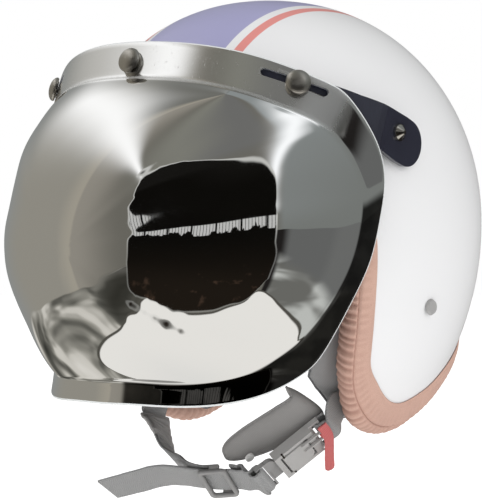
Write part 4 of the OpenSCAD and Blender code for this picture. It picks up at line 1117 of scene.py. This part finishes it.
def slide_frame():
    """Flat moulded ladder frame with round corners; the middle bar stands behind its window."""
    def ring(hx, hy, r, k=10):
        out = []
        for cx_, cy_, a0 in ((hx - r, hy - r, 0), (-hx + r, hy - r, 90), (-hx + r, -hy + r, 180), (hx - r, -hy + r, 270)):
            out += [(cx_ + r * math.cos(math.radians(a0 + 90 * i / (k - 1))), cy_ + r * math.sin(math.radians(a0 + 90 * i / (k - 1)))) for i in range(k)]
        return np.array(out)
    oy = -0.8
    rows = []
    o, i = ring(9.2, 15.5, 3.4), ring(6.3, 12.5, 1.4)
    prof = [(0.0, -1.1), (0.12, -2.9), (0.35, -3.35), (0.8, -3.55)]
    for f, z in prof:
        rows.append([tf(x * (1 - f / 9.2), y * (1 - f / 15.5) + oy, z) for x, y in o])
    for f, z in [(0.8, -3.55), (0.35, -3.35), (0.12, -2.9), (0.0, -1.1)]:
        rows.append([tf(x * (1 + f / 6.3), y * (1 + f / 12.5) + oy, z) for x, y in i])
    G = np.array(rows).transpose(1, 0, 2)
    closed_grid("slide_frame", G, "strap_end", M_SLIDER, wrap_u=True, replaces=["slider"])
    # rails and middle bar
    def barb(name, x0, x1, y0, y1, z0, z1, r=0.5):
        k = 6
        u = [(x0 + r, z0), (x1 - r, z0), (x1, z0 + r), (x1, z1 - r), (x1 - r, z1), (x0 + r, z1), (x0, z1 - r), (x0, z0 + r)]
        ys = [(y0, 0.55), (y0 + 0.25, 0.85), (y0 + 0.6, 1.0), (y1 - 0.6, 1.0), (y1 - 0.25, 0.85), (y1, 0.55)]
        mx, mz = (x0 + x1) / 2, (z0 + z1) / 2
        G = np.array([[tf(mx + (x - mx) * s_, y + oy, mz + (z - mz) * s_) for x, z in u] for y, s_ in ys])
        closed_grid(name, G, "strap_end", M_SLIDER, wrap_u=False)
    barb("slide_middle_bar", -2.8, 0.0, -14.2, 14.2, 1.2, 2.7)
    for s_, tag in ((1, "a"), (-1, "b")):
        barb("slide_post_" + tag, -4.6, 1.6, s_ * 14 - 1.3, s_ * 14 + 1.3, -1.6, 2.6, 0.6)


slide_frame()


# ------------------------------------------------------------------ hardware that keeps its CAD shape
def dress(name, material, width=0.00035, segs=3, angle=30):
    ob = bpy.data.objects[name]
    if not ob.material_slots:
        ob.data.materials.append(material)
    for s_ in ob.material_slots:
        s_.link = "OBJECT"
        s_.material = material
    if width:
        md = ob.modifiers.new("worn_edges", "BEVEL")
        md.width = width
        md.segments = segs
        md.limit_method = "ANGLE"
        md.angle_limit = math.radians(angle)
        md.harden_normals = False
    return ob


for nm, mt, w in (("pivot_bosses", M_BAND, 0.0003), ("pivot_screws", M_BRIGHT, 0.0003), ("pivot_washers", M_BRIGHT, 0.0002), ("visor_band", M_BAND, 0.0005),
                  ("snap_studs", M_SNAP, 0.0002), ("snap_sockets", M_SNAP, 0.0002), ("snap_caps", M_SNAP, 0.0003), ("strap_rivets", M_RIVET, 0.0003), ("anchor_plates", M_BRIGHT, 0.0003),
                  ("buckle_housing", M_BUCKLE, 0.0006), ("lever_pin", M_BRIGHT, 0.00015), ("lever_spring", M_BRIGHT, 0.0001), ("release_lever", M_BUCKLE, 0.0003),
                  ("ratchet_tongue", M_SLIDER, 0.0003), ("pad_snap", M_STUD, 0.0004)):
    dress(nm, mt, w)


# ------------------------------------------------------------------ floor, light
def plain_floor():
    m, t, b = new_mat("floor_pale")
    co = node(t, TC).outputs["Object"]
    g = noise(t, co, 3.0, 3.0).outputs[0]
    t.links.new(mixc(t, g, (0.93, 0.93, 0.93), (0.90, 0.90, 0.90)), b.inputs["Base Color"])
    b.inputs["Roughness"].default_value = 0.9
    b.inputs["Specular IOR Level"].default_value = 0.1
    b.inputs["Emission Color"].default_value = (1, 1, 1, 1)
    b.inputs["Emission Strength"].default_value = 0.5
    n, rings = 96, (0.001, 0.4, 0.8, 1.4, 2.4, 4.0)
    V = [(0, 0, 0)] + [(r * math.cos(2 * math.pi * i / n), r * math.sin(2 * math.pi * i / n), 0) for r in rings for i in range(n)]
    F = [[0, 1 + i, 1 + (i + 1) % n] for i in range(n)] + (grid_faces(len(rings), n, wrap_v=True) + 1).tolist()
    me = bpy.data.meshes.new("floor")
    me.from_pydata(V, [], F)
    me.materials.append(m)
    ob = bpy.data.objects.new("floor", me)
    ob.location = (0, 0, -0.215)
    scene.collection.objects.link(ob)
    ob.visible_glossy = False


plain_floor()


def area(name, loc, aim, size, power, color=(1, 1, 1), glossy=False):
    L = bpy.data.lights.new(name, "AREA")
    L.shape = "SQUARE"
    L.size = size
    L.energy = power
    L.color = color
    ob = bpy.data.objects.new(name, L)
    ob.location = loc
    ob.rotation_mode = "QUATERNION"
    ob.rotation_quaternion = (Vector(aim) - Vector(loc)).to_track_quat("-Z", "Y")
    scene.collection.objects.link(ob)
    ob.visible_glossy = glossy
    return ob


area("key", (-0.2, -1.6, 1.7), (0, 0, 0), 1.6, 16)
area("side", (1.9, 0.2, 0.9), (0, 0, 0), 1.4, 7)

# soft white room; polished surfaces see a grey tent with a white ground and a dark opening behind the viewer
world = bpy.data.worlds.new("studio")
scene.world = world
world.use_nodes = True
t = world.node_tree
t.nodes.clear()
wout = t.nodes.new("ShaderNodeOutputWorld")
lp = t.nodes.new("ShaderNodeLightPath")
tc = t.nodes.new(TC)
dirv = tc.outputs["Generated"]


def dot(v):
    n = t.nodes.new("ShaderNodeVectorMath")
    n.operation = "DOT_PRODUCT"
    t.links.new(dirv, n.inputs[0])
    n.inputs[1].default_value = tuple(v)
    return n.outputs["Value"]


HF = unit(A(FWD[0], FWD[1], 0))               # level direction towards the viewer
HR = A(-HF[1], HF[0], 0)                       # to the right, seen by the viewer
df, dr, dz = dot(HF), dot(HR), dot(A(0, 0, 1))
az = math_n(t, "MULTIPLY", math_n(t, "ARCTAN2", dr, df), 180 / math.pi)       # degrees from the viewer, + to the viewer's right
el = math_n(t, "MULTIPLY", math_n(t, "ARCSINE", dz), 180 / math.pi)


def sstep(x, a, b, lo=0.0, hi=1.0):
    n = node(t, "ShaderNodeMapRange", {"Value": x, "From Min": a, "From Max": b, "To Min": lo, "To Max": hi}, interpolation_type="SMOOTHSTEP")
    return n.outputs[0]


def boxmask(x0, x1, y0, y1, soft=1.0, x=None, y=None):
    x, y = x or az, y or el
    m1 = math_n(t, "MULTIPLY", sstep(x, x0 - soft, x0 + soft), sstep(x, x1 - soft, x1 + soft, 1.0, 0.0))
    m2 = math_n(t, "MULTIPLY", sstep(y, y0 - soft, y0 + soft), sstep(y, y1 - soft, y1 + soft, 1.0, 0.0))
    return math_n(t, "MULTIPLY", m1, m2)


def curve(x, x0, x1, pts, y0=-90.0, y1=90.0):
    """Piecewise curve through pts, read at the socket x."""
    n = t.nodes.new("ShaderNodeFloatCurve")
    c = n.mapping.curves[0]
    pts = [((px - x0) / (x1 - x0), (py - y0) / (y1 - y0)) for px, py in pts]
    c.points[0].location, c.points[1].location = pts[0], pts[-1]
    for p in pts[1:-1]:
        c.points.new(*p)
    for p in c.points:
        p.handle_type = "AUTO_CLAMPED"
    n.mapping.update()
    v = node(t, "ShaderNodeMapRange", {"Value": x, "From Min": x0, "From Max": x1})
    t.links.new(v.outputs[0], n.inputs["Value"])
    n.inputs["Factor"].default_value = 1.0
    return node(t, "ShaderNodeMapRange", {"Value": n.outputs[0], "To Min": y0, "To Max": y1}).outputs[0]


def mul(*a):
    r = a[0]
    for v in a[1:]:
        r = math_n(t, "MULTIPLY", r, v)
    return r


def sub(a, b):
    return math_n(t, "SUBTRACT", a, b)


def below(line, soft):
    """1 under the line, 0 over it."""
    return sstep(sub(el, line), -soft, soft, 1.0, 0.0)


def hill(x, width):
    """Bell of the given half width about zero."""
    q = math_n(t, "DIVIDE", x, width)
    return math_n(t, "EXPONENT", math_n(t, "MULTIPLY", mul(q, q), -1.0))


azel = node(t, "ShaderNodeCombineXYZ", {0: az, 1: el}).outputs[0]
# walls of the tent
tent = mixc(t, sstep(el, 42, 72), srgb(143, 140, 131), srgb(108, 108, 103))
tent = mixc(t, mul(sstep(az, -92, -79), sstep(el, -25, 20, 1.0, 1.0)), tent, srgb(157, 152, 140))
tent = mixc(t, sstep(az, -79.5, -77), tent, mixc(t, sstep(az, -77, -40), srgb(141, 137, 128), srgb(104, 102, 95)))
tent = mixc(t, sstep(az, -170, -128, 1.0, 0.0), tent, srgb(138, 140, 138))
# the roof is dim over the opening, and the wall to the right is cooler
roof = mul(sstep(az, -60, -20), sstep(az, 30, 44, 1.0, 0.0), sstep(el, 24, 40))
tent = mixc(t, roof, tent, mixc(t, sstep(az, -30, 20), srgb(124, 124, 116), srgb(107, 107, 105)))
tent = mixc(t, sstep(az, 40, 46), tent, mixc(t, sstep(el, 5, 45), srgb(116, 119, 116), srgb(136, 141, 141)))
# soft lamps, seen as a wide glow to the upper left and a narrow one to the upper right
glow_l = curve(az, -180, 0, [(-180, 14), (-148, 34), (-136, 43), (-123, 50), (-102, 54), (-80, 53.5), (-60, 48.5), (-43, 40.5), (-38, 37), (0, 30)])
wid_l = curve(az, -180, 0, [(-180, 8), (-148, 11), (-136, 14), (-123, 15), (-102, 13), (-80, 10), (-60, 6.5), (-46, 3.4), (-40, 2.4), (0, 1)])
g1 = mul(hill(sub(el, glow_l), wid_l), sstep(az, -168, -140), sstep(az, -40, -36, 1.0, 0.0))
tent = mixc(t, g1, tent, srgb(253, 253, 252))
glow_r = curve(el, 0, 90, [(0, 41), (25, 41), (30, 48), (38, 50), (49, 54), (62, 57), (90, 62)], -90, 90)
wid_r = curve(el, 0, 90, [(0, 1.5), (25, 2.4), (30, 7.5), (38, 8), (49, 10), (62, 11), (90, 9)], -90, 90)
g2 = mul(hill(sub(az, glow_r), wid_r), sstep(el, 20, 26), sstep(el, 62, 78, 1.0, 0.0), sstep(az, 57.5, 60.5, 1.0, 0.12))
tent = mixc(t, g2, tent, srgb(252, 254, 255))
# ground sheets, crumpled at the sides
warp = node(t, "ShaderNodeTexNoise", {"Vector": azel, "Scale": 0.022, "Detail": 2.0, "Roughness": 0.5, "Distortion": 1.2})
fold = node(t, "ShaderNodeVectorMath", {0: azel, 1: (0.35, 1.0, 1.0)}, operation="MULTIPLY")
foldn = node(t, "ShaderNodeTexNoise", {"Vector": fold.outputs[0], "Scale": 0.050, "Detail": 2.2, "Roughness": 0.5, "Distortion": 0.9})
cloth = ramp(t, math_n(t, "ADD", math_n(t, "MULTIPLY", foldn.outputs[0], 0.8), math_n(t, "MULTIPLY", warp.outputs[0], 0.2)),
             [(0.34, srgb(40, 41, 37)), (0.43, srgb(92, 91, 85)), (0.49, srgb(140, 138, 130)), (0.55, srgb(196, 193, 185)), (0.68, srgb(214, 211, 204))])
cl_top = curve(az, -180, -30, [(-180, -9), (-150, -12.5), (-137, -15), (-121, -20), (-100, -23.3), (-86, -23), (-71, -21), (-57, -19), (-48, -18), (-40, -14), (-30, -9)])
tent = mixc(t, mul(below(cl_top, 0.5), sstep(az, -38, -34, 1.0, 0.0)), tent, cloth)
near_rect = mul(sstep(az, -66, -46), sstep(az, -34, -32, 1.0, 0.0), below(cl_top, 1.0), sstep(el, -44, -30))
tent = mixc(t, mul(near_rect, 0.86), tent, srgb(42, 41, 36))
# right-hand side: dark by the opening, grey, then the bright sheet, then a dark gap
hz = curve(az, 0, 180, [(0, 9), (45, 8.9), (54, 6.4), (65, 3.9), (75, 1.3), (84, 0.6), (110, 0), (180, -4)])
r_low = mul(sstep(az, 40, 41.5), below(hz, 0.3))
rc = mixc(t, sstep(az, 44.5, 50), srgb(32, 30, 29), srgb(98, 99, 98))
rc = mixc(t, mul(sstep(az, 70, 78), 0.35), rc, srgb(116, 117, 115))
sheet = mixc(t, sstep(foldn.outputs[0], 0.40, 0.56), srgb(104, 104, 100), srgb(186, 188, 184))
rc = mixc(t, mul(sstep(sub(el, math_n(t, "MULTIPLY_ADD", az, -0.55, 15.0)), -5, 4, 1.0, 0.0), sstep(az, 43, 46)), rc, sheet)
tent = mixc(t, r_low, tent, rc)
tent = mixc(t, mul(sstep(az, 89, 95), sstep(el, 9, 14, 1.0, 0.0)), tent, srgb(28, 23, 19))
tent = mixc(t, mul(sstep(az, 130, 165), sstep(el, -10, 10, 1.0, 0.3)), tent, srgb(88, 84, 78))
# white ground with a thin dark seam round it
fl = curve(az, -180, 180, [(-180, -76), (-130, -72), (-121, -62), (-118, -52), (-112, -49.8), (-90, -49), (-63, -47.2), (-45, -41), (-36, -36.2), (-33, -36.4), (-30, -35.9), (-28, -37.2), (-26, -38.1), (-24, -38.9), (-22, -40.4), (-19, -42.0), (-17, -43.2), (-15, -44.5), (-13, -45.4), (-10, -45.9), (-6, -46.9),
                           (-2, -48.4), (12, -49.2), (24, -47), (34, -43.8), (40, -36), (48, -39), (58, -43.6), (71, -46.2), (84.5, -47), (88, -52), (96, -72), (180, -78)])
tent = mixc(t, below(math_n(t, "ADD", fl, 1.2), 0.3), tent, srgb(78, 76, 70))
tent = mixc(t, below(fl, 0.3), tent, mixc(t, sstep(el, -88, -50), srgb(222, 221, 217), srgb(230, 228, 223)))
# the opening behind the viewer: a dim hall with a row of windows
top = curve(az, -60, 60, [(-60, 20), (-42, 36), (-39.6, 39.0), (-37, 41.0), (-34, 43.2), (-32.5, 44.4), (-29, 45.6), (-26, 46.4), (-19.4, 46.5), (-9, 42.8), (0, 38), (8, 33.6), (14.4, 30.6), (24, 28.4), (32, 27.6), (36, 26.8), (38.5, 25.6),
                          (41, 23.4), (42.2, 19), (60, 0)])
bot = curve(az, -60, 60, [(-60, -20), (-41, -29), (-39.5, -31.4), (-36, -33.0), (-33, -34.6), (-30, -35.7), (-28, -37.0), (-26, -37.9), (-24, -39.0), (-22, -40.5), (-19, -41.8), (-17, -42.6), (-15, -43.8), (-13, -44.8), (-10, -45.3), (-6, -46.2), (-2, -46.7), (12, -47.5), (24, -45.2), (34, -42), (38, -34.8), (42, -24), (60, -8)])
lft = curve(el, -60, 60, [(-60, -36), (-44, -32), (-38, -33), (-34, -35.5), (-32, -37.4), (-29.5, -39.6), (-24, -40.6), (-14, -39.6), (-1.3, -38.3), (9, -38.6), (14, -36.2), (17, -34.4), (19.5, -33.8), (24, -36.5), (28, -39), (33, -41.3), (37, -41.4), (42, -40), (60, -38)])
rgt = curve(el, -60, 60, [(-60, 36), (-34.5, 38), (-28, 41), (-17, 42), (-9, 42.8), (1, 41.2), (16, 41.2), (22.6, 41.4), (60, 42)])


def opening(grow, soft):
    m1 = mul(sstep(math_n(t, "ADD", sub(az, lft), grow), -soft, soft), sstep(math_n(t, "SUBTRACT", sub(az, rgt), grow), -soft, soft, 1.0, 0.0))
    m2 = mul(sstep(sub(el, math_n(t, "ADD", top, grow)), -soft, soft, 1.0, 0.0), sstep(sub(el, math_n(t, "SUBTRACT", bot, grow)), -soft, soft))
    return mul(m1, m2)


tent = mixc(t, mul(opening(0.7, 0.25), sstep(el, -10, 24, 0.25, 1.0)), tent, srgb(190, 190, 186))
hall = mixc(t, sstep(el, -40, 10), srgb(30, 25, 20), srgb(12, 11, 9))
hall = mixc(t, mul(sstep(el, 24, 30), 0.6), hall, srgb(27, 26, 24))
dimn = node(t, "ShaderNodeTexNoise", {"Vector": azel, "Scale": 0.09, "Detail": 3.0, "Roughness": 0.6})
hall = mixc(t, mul(sstep(dimn.outputs[0], 0.58, 0.72), sstep(el, -34, -8, 1.0, 0.0), 0.5), hall, srgb(84, 66, 54))
w_top = curve(az, -60, 60, [(-60, 14), (-38, 15.0), (-33, 15.1), (-30, 15.8), (-24.5, 16.9), (-19, 18.2), (-13, 19.3), (-8, 20.2), (1, 20.9), (12, 21.7), (24, 22.3), (34, 21.8), (40, 21), (60, 18)])
w_bot = curve(az, -60, 60, [(-60, 10), (-38, 11.8), (-30, 12.4), (-16, 12.6), (1, 10.0), (12, 11), (24, 12.4), (34, 12.0), (40, 11.2), (60, 9)])
frac = math_n(t, "DIVIDE", sub(el, w_bot), sub(w_top, w_bot))                   # 0 at the sills, 1 at the heads of the windows
sil = node(t, "ShaderNodeTexNoise", {"Vector": node(t, "ShaderNodeCombineXYZ", {0: az, 1: math_n(t, "MULTIPLY", el, 0.15)}).outputs[0], "Scale": 0.17, "Detail": 4.0, "Roughness": 0.62})
sil_top = node(t, "ShaderNodeMapRange", {"Value": sil.outputs[0], "From Min": 0.40, "From Max": 0.68, "To Min": -0.1, "To Max": 0.75})   # things standing before them
bars = mul(sstep(math_n(t, "PINGPONG", az, 0.85), 0.08, 0.2), sstep(math_n(t, "PINGPONG", math_n(t, "ADD", az, 3.0), 6.6), 0.35, 0.7))
win = mul(sstep(frac, 0.97, 1.0, 1.0, 0.0), sstep(sub(frac, sil_top.outputs[0]), -0.02, 0.04), sstep(frac, 0.0, 0.04), bars)
hall = mixc(t, win, hall, srgb(186, 186, 184))
tent = mixc(t, opening(0.0, 0.25), tent, hall)
bg_white = node(t, "ShaderNodeBackground", {"Color": (1, 1, 1, 1), "Strength": 1.0})
bg_tent = node(t, "ShaderNodeBackground", {"Color": tent, "Strength": 1.0})
bg_soft = node(t, "ShaderNodeBackground", {"Color": (1, 1, 1, 1), "Strength": 0.66})
ms1 = node(t, "ShaderNodeMixShader", {0: lp.outputs["Is Glossy Ray"], 1: bg_soft.outputs[0], 2: bg_tent.outputs[0]})
ms2 = node(t, "ShaderNodeMixShader", {0: lp.outputs["Is Camera Ray"], 1: ms1.outputs[0], 2: bg_white.outputs[0]})
t.links.new(ms2.outputs[0], wout.inputs["Surface"])

scene.view_settings.view_transform = "Standard"
scene.view_settings.look = "None"
scene.view_settings.exposure = 0.0
scene.view_settings.gamma = 1.0
